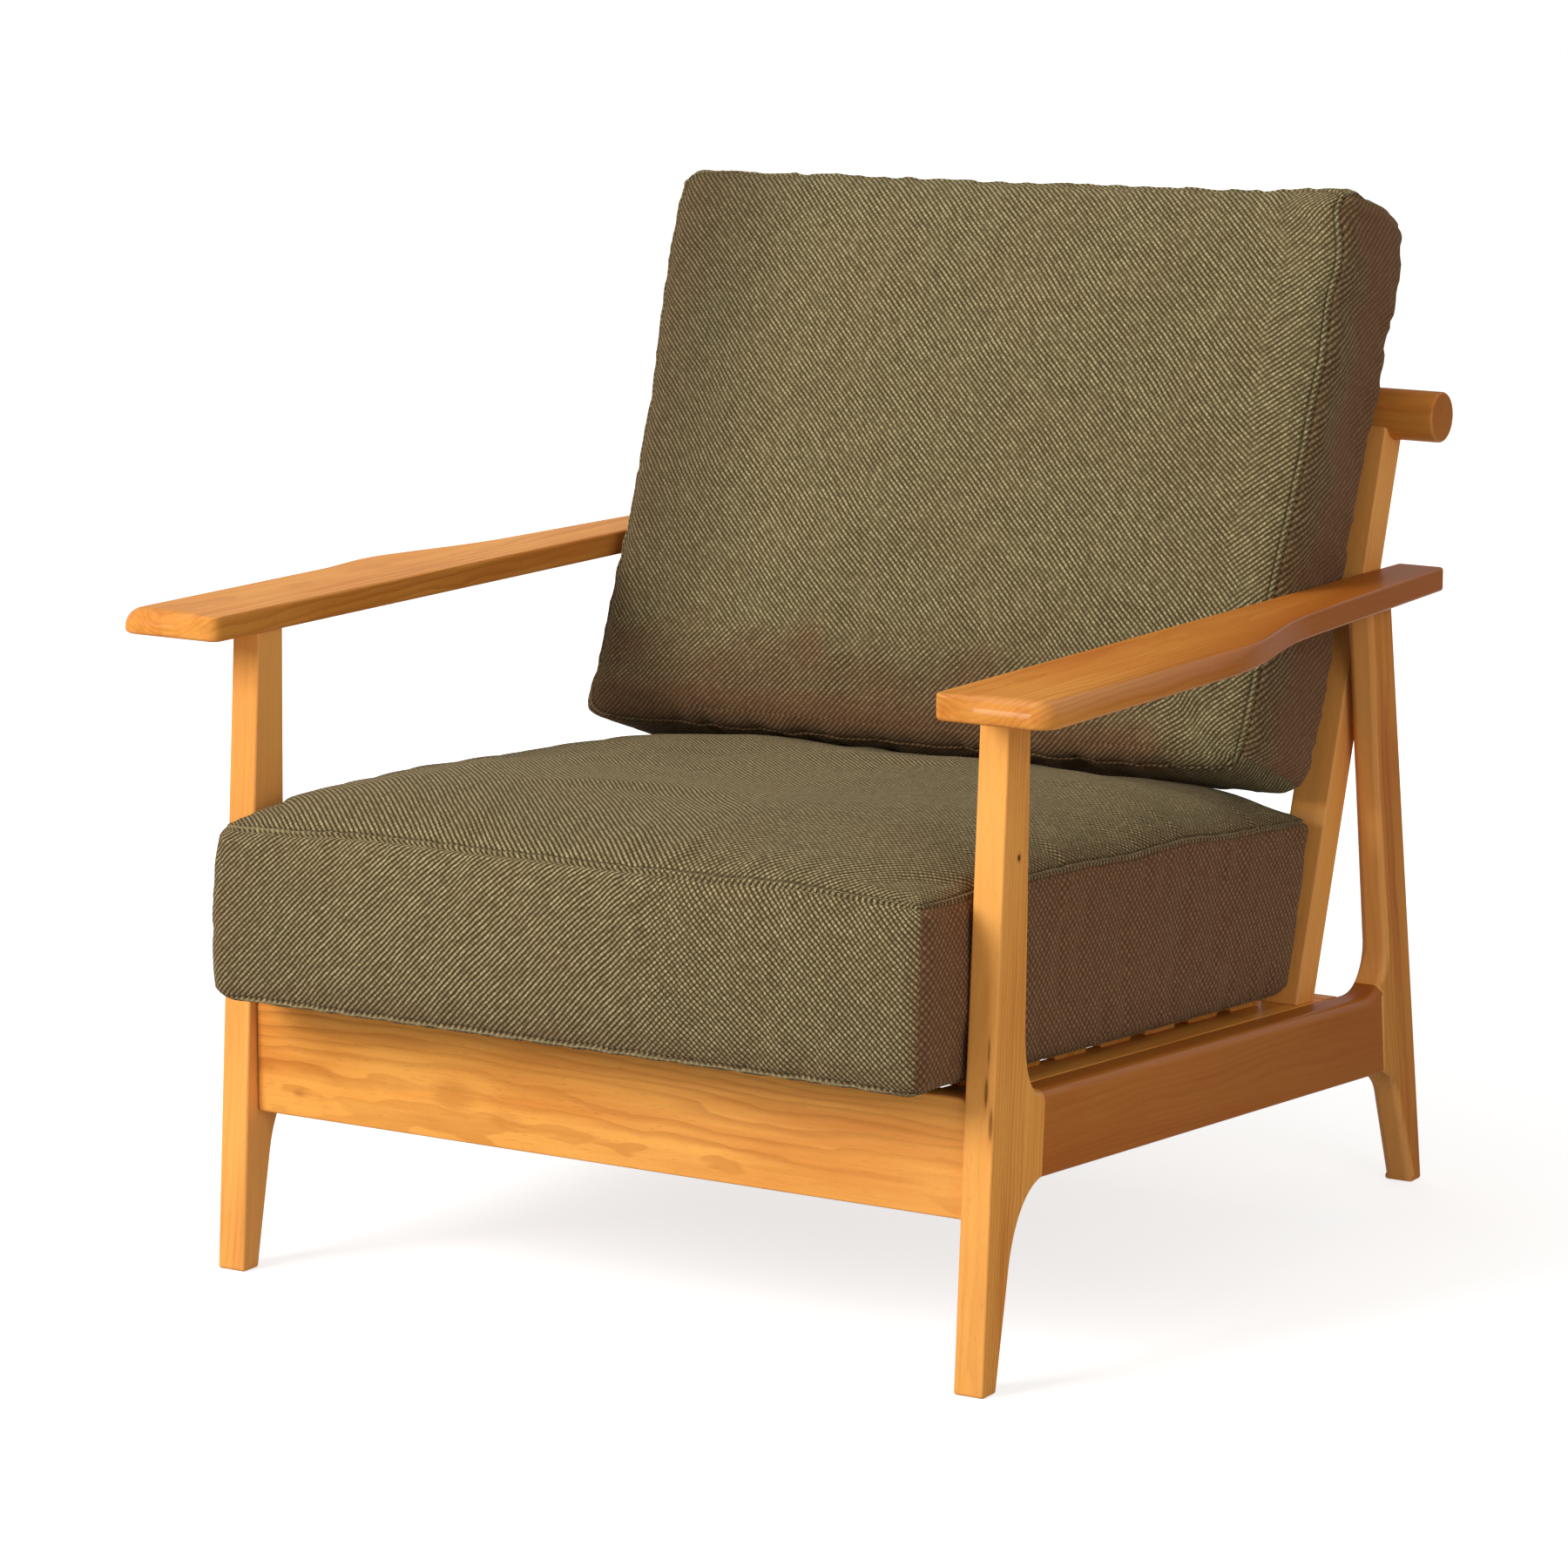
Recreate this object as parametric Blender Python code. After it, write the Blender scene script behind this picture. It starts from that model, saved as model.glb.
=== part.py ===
"""Single-seat wooden lounge chair with a loose seat cushion and a loose back cushion.

Metres, +Z up, front towards -Y. The sizes count y back from the toes of the front feet and z up
from the floor; at the end the root empty moves everything so that the origin lies under the middle.
"""

import math
from collections import namedtuple

import bpy
from mathutils import Matrix, Vector
from mathutils.bvhtree import BVHTree

for old in list(bpy.data.objects):
    bpy.data.objects.remove(old)

# Fits and edges
GAP = 0.0003
OVERRUN = 0.010
ARRIS = 0.002
FOOT_ROUND = 0.0025
BEND_STEPS = 7
BEND_HOLD_SHARE = 0.36
FILLET_STEPS = 3
EDGE_STEPS = 2
RAIL_EDGE_STEPS = 3
ARM_EDGE_STEPS = 4
SHARP_ANGLE = math.radians(40)

# Side frames
FRAME_WIDTH = 0.684
STOCK = 0.025
FOOT_SPREAD = 0.738
DECK_HEIGHT = 0.2179
DECK_FALL = math.radians(4.11)

# Front legs: leaning back, depths measured from the front edge
FRONT_LEAN = math.radians(3.87)
FRONT_FOOT = 0.0196
FRONT_ANKLE = 0.032
FRONT_ANKLE_HEIGHT = 0.089
FRONT_NECK = 0.043
FRONT_NECK_HEIGHT = 0.264
FRONT_HEAD = 0.0315
FRONT_SEAM = 0.086
FRONT_HORN_RISE = math.radians(8.5)

# Rear legs: leaning forward, depths measured from the back edge
REAR_LEAN = math.radians(9.02)
REAR_FOOT = 0.018
REAR_ANKLE = 0.0335
REAR_ANKLE_HEIGHT = 0.078
REAR_NECK = 0.0402
REAR_NECK_HEIGHT = 0.212
REAR_HEAD = 0.0335
REAR_SEAM = 0.0755
REAR_SEAM_FALL = 0.0082
REAR_CREST = 0.0078
REAR_CREST_RUN = 0.034
REAR_HORN_DIP = math.radians(25.6)
REAR_CREST_RISE = math.radians(36.9)
REAR_LEG_ROUND = 0.007

# Side rails
RAIL_DEPTH = 0.0652
RAIL_ROUND = 0.008

# Front rail and rear rail
FRONT_RAIL_SETBACK = 0.0215
FRONT_RAIL_THICKNESS = 0.022
FRONT_RAIL_HEIGHT = 0.091
FRONT_RAIL_DROP = 0.0004
FRONT_RAIL_CORNER = 0.009
REAR_RAIL_SETBACK = 0.0375
REAR_RAIL_THICKNESS = 0.022
REAR_RAIL_HEIGHT = 0.060

# Armrests
ARM_HEIGHT = 0.5203
ARM_FALL = math.radians(0.68)
ARM_THICKNESS = 0.0197
ARM_WIDTH = 0.095
ARM_WAIST_WIDTH = 0.0597
ARM_TAIL_WIDTH = 0.041
ARM_FRONT_OVERHANG = 0.0275
ARM_TAIL_SETBACK = 0.004
ARM_WIDE_LENGTH = 0.2775
ARM_CURVE_LENGTH = 0.208
ARM_OUTER_CORNER = 0.018
ARM_INNER_CORNER = 0.009
ARM_TAIL_CORNER = 0.004
ARM_ROUND = 0.015
ARM_INNER_ROUND = 0.0025
ARM_UNDER_ROUND = 0.003
ARM_FRONT_FADE = 0.030
ARM_FRONT_SHARES = (0.33, 0.66)
ARM_REAR_FADE = 0.090
ARM_REAR_FADE_LEAD = 0.022

# Back posts and top bar
POST_INSET = 0.005
POST_WIDTH = 0.033
POST_DEPTH = 0.031
POST_LEAN = math.radians(18.07)
POST_LENGTH = 0.481
POST_HEEL_ROOM = 0.0092
POST_ROUND = 0.0025
BAR_RADIUS = 0.0205
BAR_OVERHANG = 0.0405
BAR_CHAMFER = 0.0025
BAR_SIDES = 32

# Ledges, seat slats
LEDGE_WIDTH = 0.040
LEDGE_HEIGHT = 0.030
LEDGE_DROP = 0.0005
SEAT_SLAT_COUNT = 7
SEAT_SLAT_WIDTH = 0.050
SEAT_SLAT_THICKNESS = 0.008
SEAT_SLAT_ROUND = 0.0025
SEAT_SLAT_END_ROOM = 0.030
SEAT_SLAT_FRONT_ROOM = 0.016
SEAT_SLAT_REAR_ROOM = 0.018

# Lower back rail and back slats
BACK_RAIL_RISE = 0.126
BACK_RAIL_HEIGHT = 0.042
BACK_RAIL_THICKNESS = 0.022
BACK_SLAT_COUNT = 4
BACK_SLAT_PITCH = 0.114
BACK_SLAT_WIDTH = 0.043
BACK_SLAT_THICKNESS = 0.012

# Dowels and screws
DOWEL_SIDES = 12
SMALL_DOWEL = 0.004
LARGE_DOWEL = 0.005
DOWEL_CHAMFER = 0.001
DOWEL_END_ROOM = 0.0006
SEAM_DOWEL_REACH = 0.020
SEAM_DOWEL_SPACING = 0.034
RAIL_DOWEL_REACH = 0.020
RAIL_DOWEL_BITE = 0.014
FRONT_DOWEL_SPACING = 0.044
ARM_DOWEL_REACH = 0.025
ARM_DOWEL_BITE = 0.013
POST_DOWEL_REACH = 0.018
POST_FOOT_BITE = 0.016
BAR_DOWEL_REACH = 0.022
BAR_DOWEL_BITE = 0.014
SCREW_RADIUS = 0.0025
SCREW_HEAD_RADIUS = 0.0045
SCREW_HEAD_THICKNESS = 0.003
SCREW_SINK = 0.001
SCREW_BITE = 0.012
SCREW_END_INSET = 0.085

# Seat cushion, in the frame of the sloping deck
SEAT_SIDE_ROOM = 0.0015
SEAT_REAR_ROOM = 0.0108
SEAT_FRONT_OVERHANG = 0.046
SEAT_FRONT_HEIGHT = 0.1425
SEAT_REAR_HEIGHT = 0.136
SEAT_CROWN = 0.038
SEAT_CROWN_POWER = 6
SEAT_EDGE = 0.013
SEAT_CORNER = 0.018
SEAT_FRONT_SWELL = 0.012
SEAT_FRONT_BOW_SHARE = 0.5
SEAT_SIDE_SWELL = 0.003
SEAT_SIDE_TUCK = 0.003
SEAT_TOP_DROOP = 0.002
SEAT_TOP_DROOP_RUN = 0.110
SEAT_BOTTOM_DROOP = 0.003
SEAT_BOTTOM_DROOP_RUN = 0.050
SEAT_REAR_RAKE = math.radians(12.6)

# Back cushion, in the frame of its own lean
BACK_RECLINE = math.radians(22.27)
BACK_SIDE_ROOM = 0.0025
BACK_LENGTH = 0.470
BACK_THICKNESS = 0.124
BACK_CROWN = 0.027
BACK_CROWN_POWER = 3
BACK_REAR_SWELL = 0.002
BACK_SIDE_SWELL = 0.003
BACK_SIDE_TUCK = 0.004
BACK_TOP_SAG = 0.003
BACK_BOTTOM_SWELL = 0.004
BACK_TOP_THINNING = 0.010
BACK_TOP_THINNING_RUN = 0.130
BACK_SAG = 0.018
BACK_SAG_HEIGHT = 0.070
BACK_SAG_SPREAD = 0.075
BACK_SAG_SIDE_SHARE = 0.5
BACK_EDGE = 0.021
BACK_CORNER = 0.024
BACK_SPREAD = 0.008
BACK_SPREAD_START = 0.270
BACK_SPREAD_RUN = 0.160

# Both cushions
WALL_POWER = 6
CUSHION_CELLS = 12
CUSHION_WALL_CELLS = 3

# Looks
WOOD = ((0.60, 0.31, 0.11, 1), 0.35, 0)
FABRIC = ((0.14, 0.12, 0.055, 1), 0.92, 0)
STEEL = ((0.62, 0.62, 0.60, 1), 0.35, 1)

# Places worked out from the sizes
inner_face = FRAME_WIDTH / 2 - STOCK
side_centre = FRAME_WIDTH / 2 - STOCK / 2
post_outer = inner_face - POST_INSET
post_centre = post_outer - POST_WIDTH / 2
arm_inner = post_outer + GAP
along_deck = Vector((0, math.cos(DECK_FALL), -math.sin(DECK_FALL)))
up_deck = Vector((0, math.sin(DECK_FALL), math.cos(DECK_FALL)))
post_axis = Vector((0, math.sin(POST_LEAN), math.cos(POST_LEAN)))
post_back = Vector((0, math.cos(POST_LEAN), -math.sin(POST_LEAN)))

SIDES = ((1, "right"), (-1, "left"))
Corner = namedtuple("Corner", "point outer inner joint", defaults=(False,))


def deck(y):
    """Height of the side rails' top plane."""
    return DECK_HEIGHT - y * math.tan(DECK_FALL)


def arm_underside(y):
    """Height of the armrests' lower face."""
    return ARM_HEIGHT - ARM_THICKNESS - (y + ARM_FRONT_OVERHANG) * math.tan(ARM_FALL)


def front_edge(z):
    """Front edge of the front legs."""
    return z * math.tan(FRONT_LEAN)


def rear_edge(z):
    """Back edge of the rear legs."""
    return FOOT_SPREAD - z * math.tan(REAR_LEAN)


def smooth(value):
    """Eased step from 0 to 1."""
    value = min(max(value, 0), 1)
    return value * value * (3 - 2 * value)


# Outlines

def bend(start, heading, end, end_heading):
    """Points after start along a curve that leaves and arrives in the given directions."""
    start = Vector(start)
    end = Vector(end)
    reach = (end - start).length * BEND_HOLD_SHARE
    leave = start + Vector(heading).normalized() * reach
    arrive = end - Vector(end_heading).normalized() * reach
    points = []
    for step in range(1, BEND_STEPS + 1):
        t = step / BEND_STEPS
        s = 1 - t
        points.append(start * s ** 3 + leave * 3 * s * s * t + arrive * 3 * s * t * t + end * t ** 3)
    return points


def fillet(before, corner, after, radius, steps=FILLET_STEPS):
    """Points of the round corner between two straight runs."""
    corner = Vector(corner)
    towards = (Vector(before) - corner).normalized()
    away = (Vector(after) - corner).normalized()
    half = towards.angle(away) / 2
    centre = corner + (towards + away).normalized() * radius / math.sin(half)
    first = corner + towards * radius / math.tan(half) - centre
    last = corner + away * radius / math.tan(half) - centre
    sweep = first.angle(last)
    points = []
    for step in range(steps + 1):
        t = step / steps
        spoke = first * math.sin((1 - t) * sweep) + last * math.sin(t * sweep)
        points.append(centre + spoke / math.sin(sweep))
    return points


def rounded_outline(points, radius, steps=FILLET_STEPS):
    """Outline with every corner rounded alike."""
    rounded = []
    for index, point in enumerate(points):
        after = points[(index + 1) % len(points)]
        rounded += fillet(points[index - 1], point, after, radius, steps)
    return rounded


def with_edges(points, outer, inner=None, joint=False):
    """Corners that share their edge roundings."""
    return [Corner(Vector(point), outer, outer if inner is None else inner, joint) for point in points]


def inset_direction(before, corner, after):
    """Way in which a corner moves when its soft edges move in by one; joints stay in their plane."""
    coming = (corner.point - before.point).normalized()
    going = (after.point - corner.point).normalized()
    coming_in = Vector((-coming.y, coming.x))
    going_in = Vector((-going.y, going.x))
    if before.joint and corner.joint:
        return Vector((0, 0))
    if before.joint:
        return -coming / -coming.dot(going_in)
    if corner.joint:
        return going / going.dot(coming_in)
    return (coming_in + going_in) / (1 + coming_in.dot(going_in))


# Meshes

AXES = {"x": Matrix(((0, 0, 1), (1, 0, 0), (0, 1, 0))),
        "y": Matrix(((0, 1, 0), (0, 0, 1), (1, 0, 0))),
        "z": Matrix.Identity(3)}


def new_mesh(name, vertices, faces):
    """Mesh with smooth shading between its sharp edges."""
    mesh = bpy.data.meshes.new(name)
    mesh.from_pydata(vertices, [], faces)
    mesh.shade_smooth()
    mesh.set_sharp_from_angle(angle=SHARP_ANGLE)
    return mesh


def stacked(name, rings):
    """Closed solid through rings of equal length, capped flat at both ends."""
    count = len(rings[0])
    vertices = [vertex for ring in rings for vertex in ring]
    faces = [tuple(reversed(range(count)))]
    for level in range(len(rings) - 1):
        low = level * count
        high = low + count
        for index in range(count):
            after = (index + 1) % count
            faces.append((low + index, low + after, high + after, high + index))
    last = (len(rings) - 1) * count
    faces.append(tuple(range(last, last + count)))
    return new_mesh(name, vertices, faces)


def slab(name, corners, thickness, axis, steps):
    """Outline extruded along an axis to both sides; each corner rounds the edges of both faces."""
    turn = AXES[axis]
    ways = [inset_direction(corners[index - 1], corner, corners[(index + 1) % len(corners)])
            for index, corner in enumerate(corners)]

    def ring(side, step):
        angle = math.pi / 2 * step / steps if steps else math.pi / 2
        points = []
        for corner, way in zip(corners, ways):
            radius = (corner.outer if side > 0 else corner.inner) if steps else 0
            flat = corner.point + way * radius * (1 - math.sin(angle))
            depth = thickness / 2 - radius * (1 - math.cos(angle))
            points.append(turn @ Vector((flat.x, flat.y, side * depth)))
        return points

    lower = [ring(-1, step) for step in range(steps + 1)]
    upper = [ring(1, step) for step in range(steps, -1, -1)]
    return stacked(name, lower + upper)


def turned(name, profile, sides):
    """Round solid along +Z through (radius, height) points, from its lower end to its upper end."""
    rings = []
    for radius, height in profile:
        rings.append([Vector((radius * math.cos(2 * math.pi * side / sides),
                              radius * math.sin(2 * math.pi * side / sides), height))
                      for side in range(sides)])
    return stacked(name, rings)


def based(mesh, point):
    """Mesh built in the chair's place, moved so that the point is its origin."""
    mesh.transform(Matrix.Translation(-Vector(point)))
    return mesh


def mirrored(mesh, name):
    """The same shape for the other side of the chair."""
    twin = mesh.copy()
    twin.name = name
    twin.transform(Matrix.Scale(-1, 4, (1, 0, 0)))
    twin.flip_normals()
    return twin


# Objects

def empty(name, location, parent=None):
    """Empty that carries pieces."""
    holder = bpy.data.objects.new(name, None)
    bpy.context.collection.objects.link(holder)
    holder.location = location
    holder.parent = parent
    return holder


def place(name, mesh, look, location, parent, rotation=None):
    """Named object with its own material."""
    piece = bpy.data.objects.new(name, mesh)
    bpy.context.collection.objects.link(piece)
    piece.parent = parent
    piece.location = location
    if rotation is not None:
        piece.rotation_euler = rotation
    colour, roughness, metallic = look
    material = bpy.data.materials.new(name + "_finish")
    material.use_nodes = True
    shader = material.node_tree.nodes["Principled BSDF"]
    shader.inputs["Base Color"].default_value = colour
    shader.inputs["Roughness"].default_value = roughness
    shader.inputs["Metallic"].default_value = metallic
    mesh.materials.clear()
    mesh.materials.append(material)
    return piece


def pair(name, mesh, look, location, parent, rotation=None):
    """Right piece and its mirrored left twin."""
    x, y, z = location
    twin = mirrored(mesh, name + "_left")
    return {1: place(name + "_right", mesh, look, (x, y, z), parent, rotation),
            -1: place(name + "_left", twin, look, (-x, y, z), parent, rotation)}


def cut(piece, cutter):
    """Subtracts the cutter from the piece."""
    modifier = piece.modifiers.new("cut by " + cutter.name, "BOOLEAN")
    modifier.operation = "DIFFERENCE"
    modifier.solver = "EXACT"
    modifier.object = cutter


def hidden_cutter(name, mesh, location, parent, rotation=(0, 0, 0)):
    """Cutting body that is not part of the chair."""
    cutter = bpy.data.objects.new(name, mesh)
    bpy.context.collection.objects.link(cutter)
    cutter.parent = parent
    cutter.location = location
    cutter.rotation_euler = rotation
    cutter.hide_render = True
    cutter.display_type = "WIRE"
    return cutter


def aimed(direction):
    """Rotation that turns +Z to a direction."""
    return Vector(direction).to_track_quat("Z", "Y").to_euler()


def peg(name, start, end, radius, hosts, parent):
    """Dowel from start to end with its hole in each host."""
    start = Vector(start)
    end = Vector(end)
    length = (end - start).length
    profile = [(radius - DOWEL_CHAMFER, 0), (radius, DOWEL_CHAMFER),
               (radius, length - DOWEL_CHAMFER), (radius - DOWEL_CHAMFER, length)]
    hole = [(radius + GAP, -DOWEL_END_ROOM), (radius + GAP, length + DOWEL_END_ROOM)]
    turn = aimed(end - start)
    place(name, turned(name, profile, DOWEL_SIDES), WOOD, start, parent, turn)
    cutter = hidden_cutter(name + "_hole", turned(name + "_hole", hole, DOWEL_SIDES), start, parent, turn)
    for host in hosts:
        cut(host, cutter)


# Side frames

def leg_seams():
    """Ends of the seams between legs and side rails, as (y, z) points."""
    front_foot = Vector((FRONT_SEAM, deck(FRONT_SEAM) - RAIL_DEPTH))
    front_top_y = FRONT_SEAM + RAIL_DEPTH * math.sin(DECK_FALL) * math.cos(DECK_FALL)
    front_top = Vector((front_top_y, deck(front_top_y)))
    rear_foot_y = FOOT_SPREAD - REAR_SEAM
    rear_foot = Vector((rear_foot_y, deck(rear_foot_y) - RAIL_DEPTH))
    rear_top_y = rear_foot_y - REAR_SEAM_FALL
    rear_top = Vector((rear_top_y, deck(rear_top_y) + REAR_CREST))
    return front_foot, front_top, rear_foot, rear_top


def heading(angle, way=1):
    """Direction in a side view at an angle above the level, towards the rear or the front."""
    return Vector((way * math.cos(angle), math.sin(angle)))


def faded(points, start, end, inner_start=ARRIS, inner_end=ARRIS):
    """Corners whose roundings change evenly from one end to the other."""
    corners = []
    for index, point in enumerate(points):
        share = smooth(index / (len(points) - 1))
        outer = start + (end - start) * share
        inner = inner_start + (inner_end - inner_start) * share
        corners.append(Corner(Vector(point), outer, inner))
    return corners


def front_leg_corners():
    """Side view of a front leg."""
    seam_foot, seam_top, _, _ = leg_seams()
    toe = Vector((0, 0))
    heel = Vector((FRONT_FOOT, 0))
    ankle = Vector((front_edge(FRONT_ANKLE_HEIGHT) + FRONT_ANKLE, FRONT_ANKLE_HEIGHT))
    neck = Vector((front_edge(FRONT_NECK_HEIGHT) + FRONT_NECK, FRONT_NECK_HEIGHT))
    top_y = front_edge(arm_underside(0))
    head_front = Vector((top_y, arm_underside(top_y) - GAP))
    head_rear = Vector((top_y + FRONT_HEAD, arm_underside(top_y + FRONT_HEAD) - GAP))
    lower = bend(ankle, ankle - heel, seam_foot, heading(FRONT_HORN_RISE))
    upper = bend(seam_top, heading(DECK_FALL, -1), neck, head_rear - neck)
    corners = with_edges(fillet(head_front, toe, heel, FOOT_ROUND), ARRIS)
    corners += with_edges(fillet(toe, heel, ankle, FOOT_ROUND), ARRIS)
    corners += with_edges([ankle] + lower[:-1], ARRIS)
    corners += with_edges([seam_foot], ARRIS, joint=True)
    corners += faded([seam_top] + upper, RAIL_ROUND, ARRIS)
    corners += with_edges([head_rear], ARRIS, joint=True)
    corners += with_edges([head_front], ARRIS)
    return corners


def rear_leg_corners():
    """Side view of a rear leg, whose front edges are rounder."""
    _, _, seam_foot, seam_top = leg_seams()
    toe = Vector((FOOT_SPREAD - REAR_FOOT, 0))
    heel = Vector((FOOT_SPREAD, 0))
    ankle = Vector((rear_edge(REAR_ANKLE_HEIGHT) - REAR_ANKLE, REAR_ANKLE_HEIGHT))
    neck = Vector((rear_edge(REAR_NECK_HEIGHT) - REAR_NECK, REAR_NECK_HEIGHT))
    top_y = rear_edge(arm_underside(FOOT_SPREAD))
    head_rear = Vector((top_y, arm_underside(top_y) - GAP))
    head_front = Vector((top_y - REAR_HEAD, arm_underside(top_y - REAR_HEAD) - GAP))
    upper = bend(neck, neck - head_front, seam_top, -heading(REAR_CREST_RISE))
    lower = bend(seam_foot, heading(-REAR_HORN_DIP), ankle, toe - ankle)
    corners = faded(fillet(ankle, toe, heel, FOOT_ROUND), REAR_LEG_ROUND, ARRIS, REAR_LEG_ROUND)
    corners += with_edges(fillet(toe, heel, head_rear, FOOT_ROUND), ARRIS)
    corners += with_edges([head_rear], ARRIS, joint=True)
    corners += with_edges([head_front], REAR_LEG_ROUND)
    corners += faded([neck] + upper[:-1], REAR_LEG_ROUND, RAIL_ROUND, REAR_LEG_ROUND)
    corners += [Corner(seam_top, RAIL_ROUND, ARRIS, True)]
    corners += faded([seam_foot] + lower, ARRIS, REAR_LEG_ROUND, ARRIS, REAR_LEG_ROUND)
    return corners


def side_rail_corners():
    """Side view of a side rail; its rear end turns up into the leg."""
    front_foot, front_top, rear_foot, rear_top = leg_seams()
    fit = Vector((GAP / math.cos(DECK_FALL), 0))
    crest_y = rear_top.x - REAR_CREST_RUN
    crest = bend(rear_top - fit, -heading(REAR_CREST_RISE), (crest_y, deck(crest_y)), heading(DECK_FALL, -1))
    corners = with_edges([front_foot + fit], ARRIS)
    corners += with_edges([rear_foot - fit], ARRIS, joint=True)
    corners += with_edges([rear_top - fit] + crest, RAIL_ROUND, ARRIS)
    corners += with_edges([front_top + fit], RAIL_ROUND, ARRIS, joint=True)
    return corners


def add_side_frames(root):
    """Legs and side rails of both sides."""
    seam = Vector((0, *leg_seams()[2]))
    heel = Vector((0, FOOT_SPREAD, 0))
    to_side = Vector((side_centre, 0, 0))
    front_mesh = slab("front_leg_right", front_leg_corners(), STOCK, "x", EDGE_STEPS)
    rear_mesh = slab("rear_leg_right", rear_leg_corners(), STOCK, "x", EDGE_STEPS)
    rail_mesh = slab("side_rail_right", side_rail_corners(), STOCK, "x", RAIL_EDGE_STEPS)
    legs_front = pair("front_leg", front_mesh, WOOD, to_side, root)
    legs_rear = pair("rear_leg", based(rear_mesh, heel), WOOD, to_side + heel, root)
    rails = pair("side_rail", based(rail_mesh, seam), WOOD, to_side + seam, root)
    return legs_front, legs_rear, rails


def add_seam_dowels(root, legs_front, legs_rear, rails):
    """Two dowels across each seam between a leg and a side rail."""
    front_foot, front_top, rear_foot, rear_top = leg_seams()
    reach = along_deck * SEAM_DOWEL_REACH
    for end, foot, top, legs in (("front", front_foot, front_top, legs_front),
                                 ("rear", rear_foot, rear_top, legs_rear)):
        middle = (foot + top) / 2
        seam = (top - foot).normalized()
        for level, way in (("lower", -1), ("upper", 1)):
            y, z = middle + seam * way * SEAM_DOWEL_SPACING / 2
            for side, label in SIDES:
                centre = Vector((side * side_centre, y, z))
                peg(f"seam_dowel_{end}_{level}_{label}", centre - reach, centre + reach,
                    SMALL_DOWEL, (legs[side], rails[side]), root)


# Cross rails

def add_front_rail(root, legs_front):
    """Upright board between the front legs, with its dowels."""
    half = inner_face - GAP
    top = deck(FRONT_RAIL_SETBACK) - FRONT_RAIL_DROP
    bottom = top - FRONT_RAIL_HEIGHT
    height = (top + bottom) / 2
    middle = FRONT_RAIL_SETBACK + FRONT_RAIL_THICKNESS / 2
    lower_left = (bottom - height, -half)
    upper_left = (top - height, -half)
    upper_right = (top - height, half)
    lower_right = (bottom - height, half)
    outline = [lower_left] + fillet(lower_left, upper_left, upper_right, FRONT_RAIL_CORNER)
    outline += fillet(upper_left, upper_right, lower_right, FRONT_RAIL_CORNER) + [lower_right]
    mesh = slab("front_rail", with_edges(outline, ARRIS), FRONT_RAIL_THICKNESS, "y", EDGE_STEPS)
    rail = place("front_rail", mesh, WOOD, (0, middle, height), root)
    for level, way in (("lower", -1), ("upper", 1)):
        z = height + way * FRONT_DOWEL_SPACING / 2
        for side, label in SIDES:
            peg(f"front_rail_dowel_{level}_{label}",
                (side * (inner_face - RAIL_DOWEL_REACH), middle, z),
                (side * (inner_face + RAIL_DOWEL_BITE), middle, z),
                SMALL_DOWEL, (rail, legs_front[side]), root)


def board_outline(width, height, radius):
    """Corners of a board's section around its middle, rounded along its edges."""
    x = width / 2
    y = height / 2
    return with_edges(rounded_outline([(-x, -y), (x, -y), (x, y), (-x, y)], radius), 0)


def rear_rail_back():
    """Upper back edge of the rear rail."""
    y = leg_seams()[2].x - REAR_RAIL_SETBACK
    return Vector((0, y, deck(y)))


def add_rear_rail(root, rails):
    """Board across the rear of the side rails, square to them."""
    middle = rear_rail_back() - along_deck * REAR_RAIL_THICKNESS / 2 - up_deck * REAR_RAIL_HEIGHT / 2
    section = board_outline(REAR_RAIL_THICKNESS, REAR_RAIL_HEIGHT, ARRIS)
    mesh = slab("rear_rail", section, 2 * (inner_face - GAP), "x", 0)
    rail = place("rear_rail", mesh, WOOD, middle, root, (-DECK_FALL, 0, 0))
    for side, label in SIDES:
        inner = middle + Vector((side * (inner_face - RAIL_DOWEL_REACH), 0, 0))
        outer = middle + Vector((side * (inner_face + RAIL_DOWEL_BITE), 0, 0))
        peg(f"rear_rail_dowel_{label}", inner, outer, LARGE_DOWEL, (rail, rails[side]), root)


# Armrests

def arm_upper_round(point):
    """Rounding of the upper edge: full at the front and along the wide part, gone behind it."""
    wide_end = ARM_WIDE_LENGTH - ARM_FRONT_OVERHANG
    behind = smooth((point.y - wide_end + ARM_REAR_FADE_LEAD) / ARM_REAR_FADE)
    inside = 1 - smooth((point.x - arm_inner - ARM_INNER_CORNER) / ARM_FRONT_FADE)
    return ARM_ROUND + (ARM_INNER_ROUND - ARM_ROUND) * max(behind, inside)


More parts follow.
